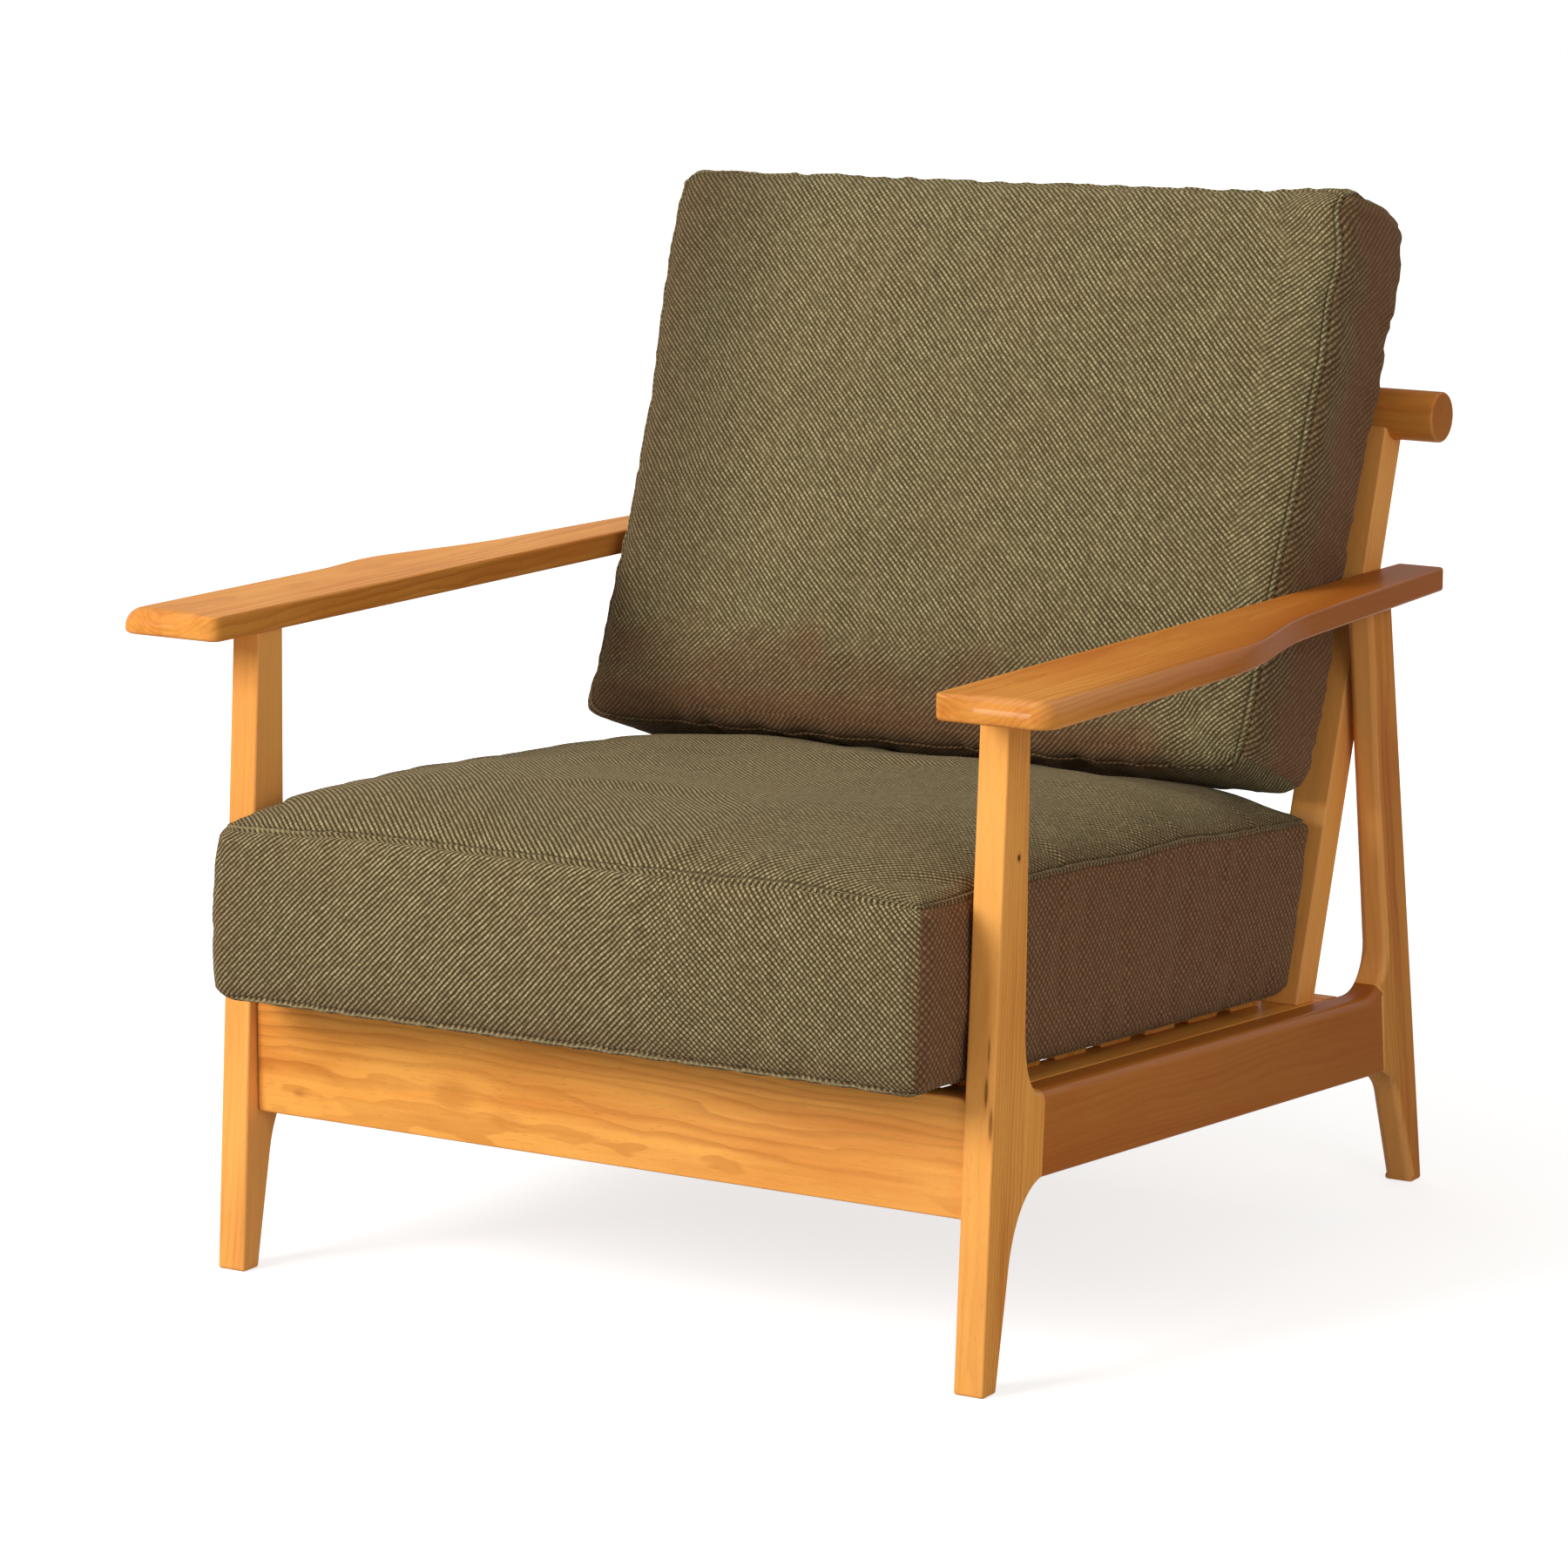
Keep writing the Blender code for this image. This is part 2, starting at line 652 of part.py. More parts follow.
def arm_corners():
    """Plan of the right armrest, wide at the front and narrowed along an S-curve."""
    front_y = -ARM_FRONT_OVERHANG
    wide_end = front_y + ARM_WIDE_LENGTH
    tail_y = FOOT_SPREAD - ARM_TAIL_SETBACK
    inner_front = Vector((arm_inner, front_y))
    outer_front = Vector((arm_inner + ARM_WIDTH, front_y))
    shoulder = Vector((arm_inner + ARM_WIDTH, wide_end))
    waist = Vector((arm_inner + ARM_WAIST_WIDTH, wide_end + ARM_CURVE_LENGTH))
    outer_tail = Vector((arm_inner + ARM_TAIL_WIDTH, tail_y))
    inner_tail = Vector((arm_inner, tail_y))
    inner_corner = fillet(inner_tail, inner_front, outer_front, ARM_INNER_CORNER)
    outer_corner = fillet(inner_front, outer_front, shoulder, ARM_OUTER_CORNER, 2 * FILLET_STEPS)
    between = [inner_corner[-1].lerp(outer_corner[0], share) for share in ARM_FRONT_SHARES]
    fade_start = shoulder - Vector((0, ARM_REAR_FADE_LEAD))
    points = inner_corner + between + outer_corner + [fade_start, shoulder]
    points += bend(shoulder, (0, 1), waist, outer_tail - waist)
    points += fillet(waist, outer_tail, inner_tail, ARM_TAIL_CORNER)
    points += fillet(outer_tail, inner_tail, inner_front, ARM_TAIL_CORNER)
    return [Corner(point, arm_upper_round(point), ARM_UNDER_ROUND) for point in points]


def add_armrests(root, legs_front, legs_rear):
    """Armrests with a dowel in each leg's head."""
    mesh = slab("armrest_right", arm_corners(), ARM_THICKNESS, "z", ARM_EDGE_STEPS)
    fall = math.tan(ARM_FALL)
    start = Vector((arm_inner, -ARM_FRONT_OVERHANG, ARM_HEIGHT - ARM_THICKNESS / 2))
    slope = Matrix(((1, 0, 0, 0), (0, 1, 0, 0), (0, -fall, 1, start.z + start.y * fall), (0, 0, 0, 1)))
    mesh.transform(slope)
    arms = pair("armrest", based(mesh, start), WOOD, start, root)
    front_y = front_edge(arm_underside(0)) + FRONT_HEAD / 2
    rear_y = rear_edge(arm_underside(FOOT_SPREAD)) - REAR_HEAD / 2
    for end, y, legs in (("front", front_y, legs_front), ("rear", rear_y, legs_rear)):
        z = arm_underside(y)
        for side, label in SIDES:
            x = side * side_centre
            peg(f"arm_dowel_{end}_{label}", (x, y, z - ARM_DOWEL_REACH), (x, y, z + ARM_DOWEL_BITE),
                LARGE_DOWEL, (legs[side], arms[side]), root)
    return arms


# Ledges and seat slats

def ledge_front():
    """Where the ledges and the deck start behind the front rail."""
    return FRONT_RAIL_SETBACK + FRONT_RAIL_THICKNESS + GAP


def ledge_rear():
    """Upper rear edge of the ledges, against the rear rail."""
    return rear_rail_back() - along_deck * (REAR_RAIL_THICKNESS + GAP) - up_deck * LEDGE_DROP


def on_ledge(y):
    """Point of the ledges' top plane in the chair's middle."""
    return Vector((0, y, deck(y) - LEDGE_DROP / math.cos(DECK_FALL)))


def add_ledges(root, rails):
    """Bearers along the insides of the side rails, each held by two sunk screws."""
    top_rear = ledge_rear()
    top_front = on_ledge(ledge_front())
    low_rear = top_rear - up_deck * LEDGE_HEIGHT
    low_front = top_front - Vector((0, 0, LEDGE_HEIGHT / math.cos(DECK_FALL)))
    outline = [point.yz for point in (low_front, low_rear, top_rear, top_front)]
    mesh = slab("seat_ledge_right", with_edges(outline, ARRIS), LEDGE_WIDTH, "x", 1)
    centre = inner_face - GAP - LEDGE_WIDTH / 2
    middle = (top_rear + low_front) / 2
    ledges = pair("seat_ledge", based(mesh, middle), WOOD, middle + Vector((centre, 0, 0)), root)
    first = top_front + along_deck * SCREW_END_INSET - up_deck * LEDGE_HEIGHT / 2
    last = top_rear - along_deck * SCREW_END_INSET - up_deck * LEDGE_HEIGHT / 2
    for end, point in (("front", first), ("rear", last)):
        for side, label in SIDES:
            start = Vector((side * (centre - LEDGE_WIDTH / 2), point.y, point.z))
            add_ledge_screw(f"ledge_screw_{end}_{label}", start, side, (ledges[side], rails[side]), root)
    return ledges


def add_ledge_screw(name, start, side, hosts, root):
    """Wood screw from a ledge's inner face into the side rail, its head sunk below the surface."""
    tip = LEDGE_WIDTH + GAP + SCREW_BITE
    neck = SCREW_SINK + SCREW_HEAD_THICKNESS
    screw = [(SCREW_HEAD_RADIUS, SCREW_SINK), (SCREW_HEAD_RADIUS, neck), (SCREW_RADIUS, neck),
             (SCREW_RADIUS, tip - SCREW_RADIUS), (SCREW_RADIUS / 2, tip)]
    wide = SCREW_HEAD_RADIUS + GAP
    narrow = SCREW_RADIUS + GAP
    hole = [(wide, -OVERRUN), (wide, neck + GAP), (narrow, neck + GAP), (narrow, tip + DOWEL_END_ROOM)]
    turn = aimed((side, 0, 0))
    place(name, turned(name, screw, DOWEL_SIDES), STEEL, start, root, turn)
    cutter = hidden_cutter(name + "_hole", turned(name + "_hole", hole, DOWEL_SIDES), start, root, turn)
    for host in hosts:
        cut(host, cutter)


def add_seat_slats(root):
    """Slats across the ledges, evenly spaced in front of the posts."""
    foot_front, _ = post_foot()
    margin = SEAT_SLAT_WIDTH / 2
    first = on_ledge(ledge_front()) + along_deck * (SEAT_SLAT_FRONT_ROOM + margin)
    last = foot_front - along_deck * (SEAT_SLAT_REAR_ROOM + margin)
    section = board_outline(SEAT_SLAT_WIDTH, SEAT_SLAT_THICKNESS, SEAT_SLAT_ROUND)
    length = 2 * (inner_face - SEAT_SLAT_END_ROOM)
    lift = up_deck * (GAP + SEAT_SLAT_THICKNESS / 2)
    for index in range(SEAT_SLAT_COUNT):
        middle = on_ledge(first.lerp(last, index / (SEAT_SLAT_COUNT - 1)).y) + lift
        name = f"seat_slat_{index + 1}"
        place(name, slab(name, section, length, "x", 0), WOOD, middle, root, (-DECK_FALL, 0, 0))


# Back

def post_foot():
    """Front and back edge of a post's foot on the ledge, in the chair's middle."""
    heel = ledge_rear() - along_deck * POST_HEEL_ROOM + up_deck * GAP
    toe = heel - along_deck * POST_DEPTH / math.cos(POST_LEAN - DECK_FALL)
    return toe, heel


def bar_centre():
    """Middle of the top bar."""
    toe, heel = post_foot()
    return (toe + heel) / 2 + post_axis * POST_LENGTH


def add_posts(root, ledges, arms, bar):
    """Square posts that stand on the ledges and carry the bar."""
    toe, heel = post_foot()
    foot = (toe + heel) / 2
    top = bar_centre()
    half = post_back * POST_DEPTH / 2
    outline = [point.yz for point in (toe, heel, top + half, top - half)]
    corners = [Corner(point, POST_ROUND, POST_ROUND, index % 2 == 0) for index, point in enumerate(outline)]
    mesh = slab("back_post_right", corners, POST_WIDTH, "x", EDGE_STEPS)
    posts = pair("back_post", based(mesh, foot), WOOD, foot + Vector((post_centre, 0, 0)), root)
    cope = bar_cutter(root)
    arm_middle = post_at_arm()
    for side, label in SIDES:
        out = Vector((side * post_centre, 0, 0))
        cut(posts[side], cope)
        peg(f"post_foot_dowel_{label}", out + foot - post_axis * POST_FOOT_BITE,
            out + foot + post_axis * POST_DOWEL_REACH, SMALL_DOWEL, (ledges[side], posts[side]), root)
        peg(f"bar_dowel_{label}", out + top - post_axis * (BAR_RADIUS + BAR_DOWEL_REACH),
            out + top - post_axis * (BAR_RADIUS - BAR_DOWEL_BITE), LARGE_DOWEL, (posts[side], bar), root)
        joint = Vector((side * post_outer, arm_middle.y, arm_middle.z))
        reach = Vector((side * POST_DOWEL_REACH, 0, 0))
        peg(f"arm_post_dowel_{label}", joint - reach, joint + reach, SMALL_DOWEL,
            (posts[side], arms[side]), root)
    return posts


def post_at_arm():
    """Where a post's middle line passes the middle of the armrest's thickness."""
    toe, heel = post_foot()
    foot = (toe + heel) / 2
    middle = arm_underside(foot.y) + ARM_THICKNESS / 2
    rise = (middle - foot.z) / (math.cos(POST_LEAN) + math.tan(ARM_FALL) * math.sin(POST_LEAN))
    return foot + post_axis * rise


def add_bar(root):
    """Round bar across the posts."""
    half = post_outer + BAR_OVERHANG
    slim = BAR_RADIUS - BAR_CHAMFER
    profile = [(slim, -half), (BAR_RADIUS, BAR_CHAMFER - half), (BAR_RADIUS, half - BAR_CHAMFER), (slim, half)]
    return place("top_bar", turned("top_bar", profile, BAR_SIDES), WOOD, bar_centre(), root, aimed((1, 0, 0)))


def bar_cutter(root):
    """Body that copes what ends on the bar."""
    half = post_outer + BAR_OVERHANG + OVERRUN
    mesh = turned("bar_cutter", [(BAR_RADIUS + GAP, -half), (BAR_RADIUS + GAP, half)], BAR_SIDES)
    return hidden_cutter("bar_cutter", mesh, bar_centre(), root, aimed((1, 0, 0)))


def add_lower_back_rail(root, posts):
    """Board between the posts that carries the back slats."""
    toe, heel = post_foot()
    middle = (toe + heel) / 2 + post_axis * BACK_RAIL_RISE
    inner = post_outer - POST_WIDTH
    section = board_outline(BACK_RAIL_THICKNESS, BACK_RAIL_HEIGHT, ARRIS)
    mesh = slab("lower_back_rail", section, 2 * (inner - GAP), "x", 0)
    rail = place("lower_back_rail", mesh, WOOD, middle, root, (-POST_LEAN, 0, 0))
    for side, label in SIDES:
        start = middle + Vector((side * (inner - RAIL_DOWEL_REACH), 0, 0))
        end = middle + Vector((side * (inner + RAIL_DOWEL_BITE), 0, 0))
        peg(f"back_rail_dowel_{label}", start, end, SMALL_DOWEL, (rail, posts[side]), root)
    return middle + post_axis * (BACK_RAIL_HEIGHT / 2 + GAP)


def add_back_slats(root, stand):
    """Upright slats from the lower back rail to the bar."""
    top = bar_centre()
    half = post_back * BACK_SLAT_THICKNESS / 2
    outline = [point.yz for point in (stand - half, stand + half, top + half, top - half)]
    corners = [Corner(point, ARRIS, ARRIS, index % 2 == 0) for index, point in enumerate(outline)]
    cope = bpy.data.objects["bar_cutter"]
    for index in range(BACK_SLAT_COUNT):
        x = (index - (BACK_SLAT_COUNT - 1) / 2) * BACK_SLAT_PITCH
        name = f"back_slat_{index + 1}"
        mesh = based(slab(name, corners, BACK_SLAT_WIDTH, "x", EDGE_STEPS), stand)
        cut(place(name, mesh, WOOD, stand + Vector((x, 0, 0)), root), cope)


# Cushions

def boxed(unit, half, rims):
    """Point of a rounded box for a point on the surface of a unit cube."""
    point = []
    way = []
    for share, size, rim in zip(unit, half, rims):
        core = max(rim - size, min(size - rim, share * size))
        point.append(core)
        way.append((share * size - core) / rim)
    way = Vector(way).normalized()
    return Vector((point[0] + way.x * rims[0], point[1] + way.y * rims[1], point[2] + way.z * rims[2]))


def stations(half, rim, cells):
    """Places from -1 to 1, even between the rounded rims and closer in them."""
    flat = 1 - rim / half
    knee = 1 - rim / half * (1 - math.tan(math.pi / 8))
    return [-1, -knee] + [flat * (2 * cell / cells - 1) for cell in range(cells + 1)] + [knee, 1]


def cushion_mesh(name, half, rims, shape):
    """Closed grid over the surface of a unit cube, moved by the cushion's shape."""
    cells = (CUSHION_CELLS, CUSHION_CELLS, CUSHION_WALL_CELLS)
    places = [stations(size, rim, count) for size, rim, count in zip(half, rims, cells)]
    last = [len(places[axis]) - 1 for axis in range(3)]
    vertices = []
    numbers = {}

    def number(key):
        if key not in numbers:
            numbers[key] = len(vertices)
            vertices.append(shape([places[axis][key[axis]] for axis in range(3)]))
        return numbers[key]

    faces = []
    for axis in range(3):
        first, second = (axis + 1) % 3, (axis + 2) % 3
        for end in (0, last[axis]):
            for i in range(last[first]):
                for j in range(last[second]):
                    quad = []
                    for di, dj in ((0, 0), (1, 0), (1, 1), (0, 1)):
                        key = [0, 0, 0]
                        key[axis], key[first], key[second] = end, i + di, j + dj
                        quad.append(number(tuple(key)))
                    faces.append(quad if end else quad[::-1])
    mesh = bpy.data.meshes.new(name)
    mesh.from_pydata(vertices, [], faces)
    mesh.shade_smooth()
    return mesh


def dome(across, along, power):
    """Share of the crown over a cushion's face."""
    return (1 - abs(across) ** power) * (1 - abs(along) ** power)


def sideways(across, along, wall, swell, tuck):
    """Outward move of the side walls: swollen between the seams, drawn in between the corners."""
    move = swell * wall * abs(across) ** WALL_POWER - tuck * (1 - along ** 2) * abs(across)
    return math.copysign(move, across)


def seat_half():
    """Half sizes of the seat cushion's box."""
    toe, _ = post_foot()
    rear = toe.y / math.cos(DECK_FALL) - SEAT_REAR_ROOM
    return Vector((inner_face - SEAT_SIDE_ROOM - SEAT_SIDE_SWELL,
                   (rear + SEAT_FRONT_OVERHANG) / 2, SEAT_FRONT_HEIGHT / 2))


def seat_point(unit):
    """Surface of the seat cushion: x across, y to the rear along the deck, z from its underside."""
    half = seat_half()
    x, y, z = boxed(unit, half, (SEAT_CORNER, SEAT_CORNER, SEAT_EDGE))
    across, along, up = x / half.x, y / half.y, z / half.z
    level = (up + 1) / 2
    wall = 1 - up ** 2
    run = y + half.y
    height = (z + half.z) * (1 + (SEAT_REAR_HEIGHT / SEAT_FRONT_HEIGHT - 1) * (along + 1) / 2)
    height -= SEAT_TOP_DROOP * smooth(1 - run / SEAT_TOP_DROOP_RUN) * level
    height -= SEAT_BOTTOM_DROOP * smooth(1 - run / SEAT_BOTTOM_DROOP_RUN) * (1 - level)
    height += SEAT_CROWN * dome(across, along, SEAT_CROWN_POWER) * level
    x += sideways(across, along, wall, SEAT_SIDE_SWELL, SEAT_SIDE_TUCK)
    y -= SEAT_FRONT_SWELL * wall * max(-along, 0) ** WALL_POWER * (1 - SEAT_FRONT_BOW_SHARE * across ** 2)
    y += math.tan(SEAT_REAR_RAKE) * height * max(along, 0)
    return Vector((x, y + half.y - SEAT_FRONT_OVERHANG, height))


def back_half():
    """Half sizes of the back cushion's box."""
    return Vector((arm_inner - BACK_SIDE_ROOM - BACK_SIDE_SWELL, BACK_LENGTH / 2, BACK_THICKNESS / 2))


def back_point(unit):
    """Surface of the back cushion: x across, y up along its lean, z to the front."""
    half = back_half()
    x, y, z = boxed(unit, half, (BACK_CORNER, BACK_CORNER, BACK_EDGE))
    across, along, up = x / half.x, y / half.y, z / half.z
    face = (up + 1) / 2
    wall = 1 - up ** 2
    height = y + half.y
    sag = math.exp(-((height - BACK_SAG_HEIGHT) / BACK_SAG_SPREAD) ** 2)
    sag *= 1 - BACK_SAG_SIDE_SHARE * across ** WALL_POWER
    thin = smooth((height - BACK_LENGTH) / BACK_TOP_THINNING_RUN + 1)
    fullness = dome(across, along, BACK_CROWN_POWER)
    z += BACK_CROWN * fullness * face
    z -= (BACK_REAR_SWELL * fullness + BACK_SAG * sag - BACK_TOP_THINNING * thin) * (1 - face)
    x += sideways(across, along, wall, BACK_SIDE_SWELL, BACK_SIDE_TUCK)
    x += BACK_SPREAD * smooth((height - BACK_SPREAD_START) / BACK_SPREAD_RUN) * across
    level = 1 - across ** WALL_POWER
    y -= BACK_TOP_SAG * max(along, 0) ** WALL_POWER * level
    y -= BACK_BOTTOM_SWELL * wall * max(-along, 0) ** WALL_POWER * level
    return Vector((x, y + half.y, z - half.z))


def add_seat_cushion(root):
    """Loose seat cushion on the slats; it draws out along the deck."""
    lift = up_deck * (2 * GAP + SEAT_SLAT_THICKNESS)
    slide = empty("seat_slide", on_ledge(0) + lift, root)
    slide.rotation_euler = (-DECK_FALL, 0, 0)
    mesh = cushion_mesh("seat_cushion", seat_half(), (SEAT_CORNER, SEAT_CORNER, SEAT_EDGE), seat_point)
    return place("seat_cushion", mesh, FABRIC, (0, 0, 0), slide)


def add_back_cushion(root, seat):
    """Loose back cushion that leans on the bar and rests on the seat cushion's crown."""
    up = Vector((0, math.sin(BACK_RECLINE), math.cos(BACK_RECLINE)))
    front = Vector((0, -math.cos(BACK_RECLINE), math.sin(BACK_RECLINE)))
    clear = BAR_RADIUS + GAP + BACK_THICKNESS + BACK_REAR_SWELL
    slide = empty("back_slide", bar_centre() + front * clear, root)
    slide.rotation_euler = (math.pi / 2 - BACK_RECLINE, 0, 0)
    mesh = cushion_mesh("back_cushion", back_half(), (BACK_CORNER, BACK_CORNER, BACK_EDGE), back_point)
    cushion = place("back_cushion", mesh, FABRIC, (0, 0, 0), slide)
    slide.location -= up * (fall_onto(cushion, seat, -up) - GAP / math.cos(BACK_RECLINE))
    return cushion


def fall_onto(piece, carrier, way):
    """Distance that a piece can move one way until it meets its carrier."""
    bpy.context.view_layer.update()
    trees = {}
    points = {}
    for item in (piece, carrier):
        points[item] = [item.matrix_world @ vertex.co for vertex in item.data.vertices]
        polygons = [tuple(polygon.vertices) for polygon in item.data.polygons]
        trees[item] = BVHTree.FromPolygons(points[item], polygons)
    hits = [trees[carrier].ray_cast(point, way)[3] for point in points[piece]]
    hits += [trees[piece].ray_cast(point, -way)[3] for point in points[carrier]]
    return min(hit for hit in hits if hit is not None)


def centre_over_origin(root):
    """Moves the chair so that the origin lies midway between its front and its back."""
    bpy.context.view_layer.update()
    depths = []
    for piece in root.children_recursive:
        if piece.type == "MESH" and not piece.hide_render:
            depths += [(piece.matrix_world @ vertex.co).y for vertex in piece.data.vertices]
    root.location.y = -(min(depths) + max(depths)) / 2


def build_chair():
    """Whole chair under one root."""
    root = empty("chair", (0, 0, 0))
    legs_front, legs_rear, rails = add_side_frames(root)
    add_seam_dowels(root, legs_front, legs_rear, rails)
    add_front_rail(root, legs_front)
    add_rear_rail(root, rails)
    arms = add_armrests(root, legs_front, legs_rear)
    ledges = add_ledges(root, rails)
    add_seat_slats(root)
    bar = add_bar(root)
    posts = add_posts(root, ledges, arms, bar)
    add_back_slats(root, add_lower_back_rail(root, posts))
    seat = add_seat_cushion(root)
    add_back_cushion(root, seat)
    centre_over_origin(root)


build_chair()
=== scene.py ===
import functools
import math
from collections import namedtuple

import bpy
import numpy as np
from mathutils import Matrix, Vector
from mathutils.bvhtree import BVHTree


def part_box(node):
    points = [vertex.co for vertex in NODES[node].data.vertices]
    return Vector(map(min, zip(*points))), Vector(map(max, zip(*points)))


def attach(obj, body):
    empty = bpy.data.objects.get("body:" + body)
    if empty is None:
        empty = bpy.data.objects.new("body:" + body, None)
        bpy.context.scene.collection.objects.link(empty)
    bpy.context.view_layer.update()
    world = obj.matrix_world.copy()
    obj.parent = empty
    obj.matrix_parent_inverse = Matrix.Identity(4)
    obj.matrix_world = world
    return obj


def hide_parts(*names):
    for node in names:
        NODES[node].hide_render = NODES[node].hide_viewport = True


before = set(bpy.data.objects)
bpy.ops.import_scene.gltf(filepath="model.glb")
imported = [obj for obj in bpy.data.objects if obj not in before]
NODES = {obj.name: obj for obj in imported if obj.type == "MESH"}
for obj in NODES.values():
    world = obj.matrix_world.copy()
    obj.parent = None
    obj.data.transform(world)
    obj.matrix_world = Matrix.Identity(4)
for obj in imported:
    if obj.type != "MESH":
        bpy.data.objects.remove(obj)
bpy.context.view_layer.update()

# Sizes of the chair, as in the part's source: metres, y counted back from the front toes
GAP = 0.0003
ARRIS = 0.002
FOOT_ROUND = 0.0025
BEND_HOLD_SHARE = 0.36

FRAME_WIDTH = 0.684
STOCK = 0.025
FOOT_SPREAD = 0.738
DECK_HEIGHT = 0.2179
DECK_FALL = math.radians(4.11)

FRONT_LEAN = math.radians(3.87)
FRONT_FOOT = 0.0196
FRONT_ANKLE = 0.032
FRONT_ANKLE_HEIGHT = 0.089
FRONT_NECK = 0.043
FRONT_NECK_HEIGHT = 0.264
FRONT_HEAD = 0.0315
FRONT_SEAM = 0.086
FRONT_HORN_RISE = math.radians(8.5)

REAR_LEAN = math.radians(9.02)
REAR_FOOT = 0.018
REAR_ANKLE = 0.0335
REAR_ANKLE_HEIGHT = 0.078
REAR_NECK = 0.0402
REAR_NECK_HEIGHT = 0.212
REAR_HEAD = 0.0335
REAR_SEAM = 0.0755
REAR_SEAM_FALL = 0.0082
REAR_CREST = 0.0078
REAR_CREST_RUN = 0.034
REAR_HORN_DIP = math.radians(25.6)
REAR_CREST_RISE = math.radians(36.9)
REAR_LEG_ROUND = 0.007

RAIL_DEPTH = 0.0652
RAIL_ROUND = 0.008

FRONT_RAIL_SETBACK = 0.0215
FRONT_RAIL_THICKNESS = 0.022
FRONT_RAIL_HEIGHT = 0.091
FRONT_RAIL_DROP = 0.0004
FRONT_RAIL_CORNER = 0.009
REAR_RAIL_SETBACK = 0.0375
REAR_RAIL_THICKNESS = 0.022

ARM_HEIGHT = 0.5203
ARM_FALL = math.radians(0.68)
ARM_THICKNESS = 0.0197
ARM_WIDTH = 0.095
ARM_WAIST_WIDTH = 0.0597
ARM_TAIL_WIDTH = 0.041
ARM_FRONT_OVERHANG = 0.0275
ARM_TAIL_SETBACK = 0.004
ARM_WIDE_LENGTH = 0.2775
ARM_CURVE_LENGTH = 0.208
ARM_OUTER_CORNER = 0.018
ARM_INNER_CORNER = 0.009
ARM_TAIL_CORNER = 0.004
ARM_ROUND = 0.015
ARM_INNER_ROUND = 0.0025
ARM_UNDER_ROUND = 0.003
ARM_FRONT_FADE = 0.030
ARM_REAR_FADE = 0.090
ARM_REAR_FADE_LEAD = 0.022

POST_INSET = 0.005
POST_WIDTH = 0.033
POST_DEPTH = 0.031
POST_LEAN = math.radians(18.07)
POST_LENGTH = 0.481
POST_HEEL_ROOM = 0.0092
POST_ROUND = 0.0025
BAR_RADIUS = 0.0205
BAR_OVERHANG = 0.0405
BAR_CHAMFER = 0.0025
LEDGE_DROP = 0.0005

SEAT_SIDE_ROOM = 0.0015
SEAT_REAR_ROOM = 0.0108
SEAT_FRONT_OVERHANG = 0.046
SEAT_FRONT_HEIGHT = 0.1425
SEAT_REAR_HEIGHT = 0.136
SEAT_CROWN = 0.038
SEAT_CROWN_POWER = 6
SEAT_EDGE = 0.013
SEAT_CORNER = 0.018
SEAT_FRONT_SWELL = 0.012
SEAT_FRONT_BOW_SHARE = 0.5
SEAT_SIDE_SWELL = 0.003
SEAT_SIDE_TUCK = 0.003
SEAT_TOP_DROOP = 0.002
SEAT_TOP_DROOP_RUN = 0.110
SEAT_BOTTOM_DROOP = 0.003
SEAT_BOTTOM_DROOP_RUN = 0.050
SEAT_REAR_RAKE = math.radians(12.6)

BACK_RECLINE = math.radians(22.27)
BACK_SIDE_ROOM = 0.0025
BACK_LENGTH = 0.470
BACK_THICKNESS = 0.124
BACK_CROWN = 0.027
BACK_CROWN_POWER = 3
BACK_REAR_SWELL = 0.002
BACK_SIDE_SWELL = 0.003
BACK_SIDE_TUCK = 0.004
BACK_TOP_SAG = 0.003
BACK_BOTTOM_SWELL = 0.004
BACK_TOP_THINNING = 0.010
BACK_TOP_THINNING_RUN = 0.130
BACK_SAG = 0.018
BACK_SAG_HEIGHT = 0.070
BACK_SAG_SPREAD = 0.075
BACK_SAG_SIDE_SHARE = 0.5
BACK_EDGE = 0.021
BACK_CORNER = 0.024
BACK_SPREAD = 0.008
BACK_SPREAD_START = 0.270
BACK_SPREAD_RUN = 0.160
WALL_POWER = 6
CAD_CELLS = 12
CAD_WALL_CELLS = 3

# How finely the shown pieces are made
BEND_STEPS = 28
FILLET_STEPS = 9
EDGE_STEPS = 5
ARM_EDGE_STEPS = 10
ARM_FRONT_STEPS = 12
BAR_SIDES = 112
BAR_END_STEPS = 6
SADDLE_STEPS = 8
SHARP_ANGLE = math.radians(40)
RIM_CELLS = 24
CELL = 0.0055
FINE_CELL = 0.0012

# Seams of the covers
SEAM_GROOVE = 0.0016
SEAM_GROOVE_WIDTH = 0.0013
SEAM_CORNER_POWER = 10
WELT = 0.0011
STITCH_LINE = 0.0058
STITCH_GROOVE = 0.0010
STITCH_GROOVE_WIDTH = 0.0009
PUCKER = 0.0007
PUCKER_REACH = 0.022
PUCKER_CLEAR = 0.012
PUCKER_SEED = 17

# Cloth of the covers: number of the first face's sheet, steps from sheet to sheet in the pattern,
# scale of the weave on the sides, and where a face's sheet begins to be folded over
FACE_SHEET = 10.0
SHEET_STEP = (0.7, 0.4)
SIDE_WEAVE = 0.78
FOLD_SHARE = 0.93

# Simulated wrinkles, and how soft covers give way to their neighbours
COARSE_CELL = 0.0075
COARSE_RIM_CELLS = 3
CLOTH_FRAMES = 20
CLOTH_CAP = 0.020
DOME_POWERS = (2, 5, 12)
WRINKLE_GAIN = 0.6
WRINKLE_CAP = 0.0017
RESTING_FACE = -0.98
PRESS_REACH = 0.006
PRESS_ROOM = 0.0004

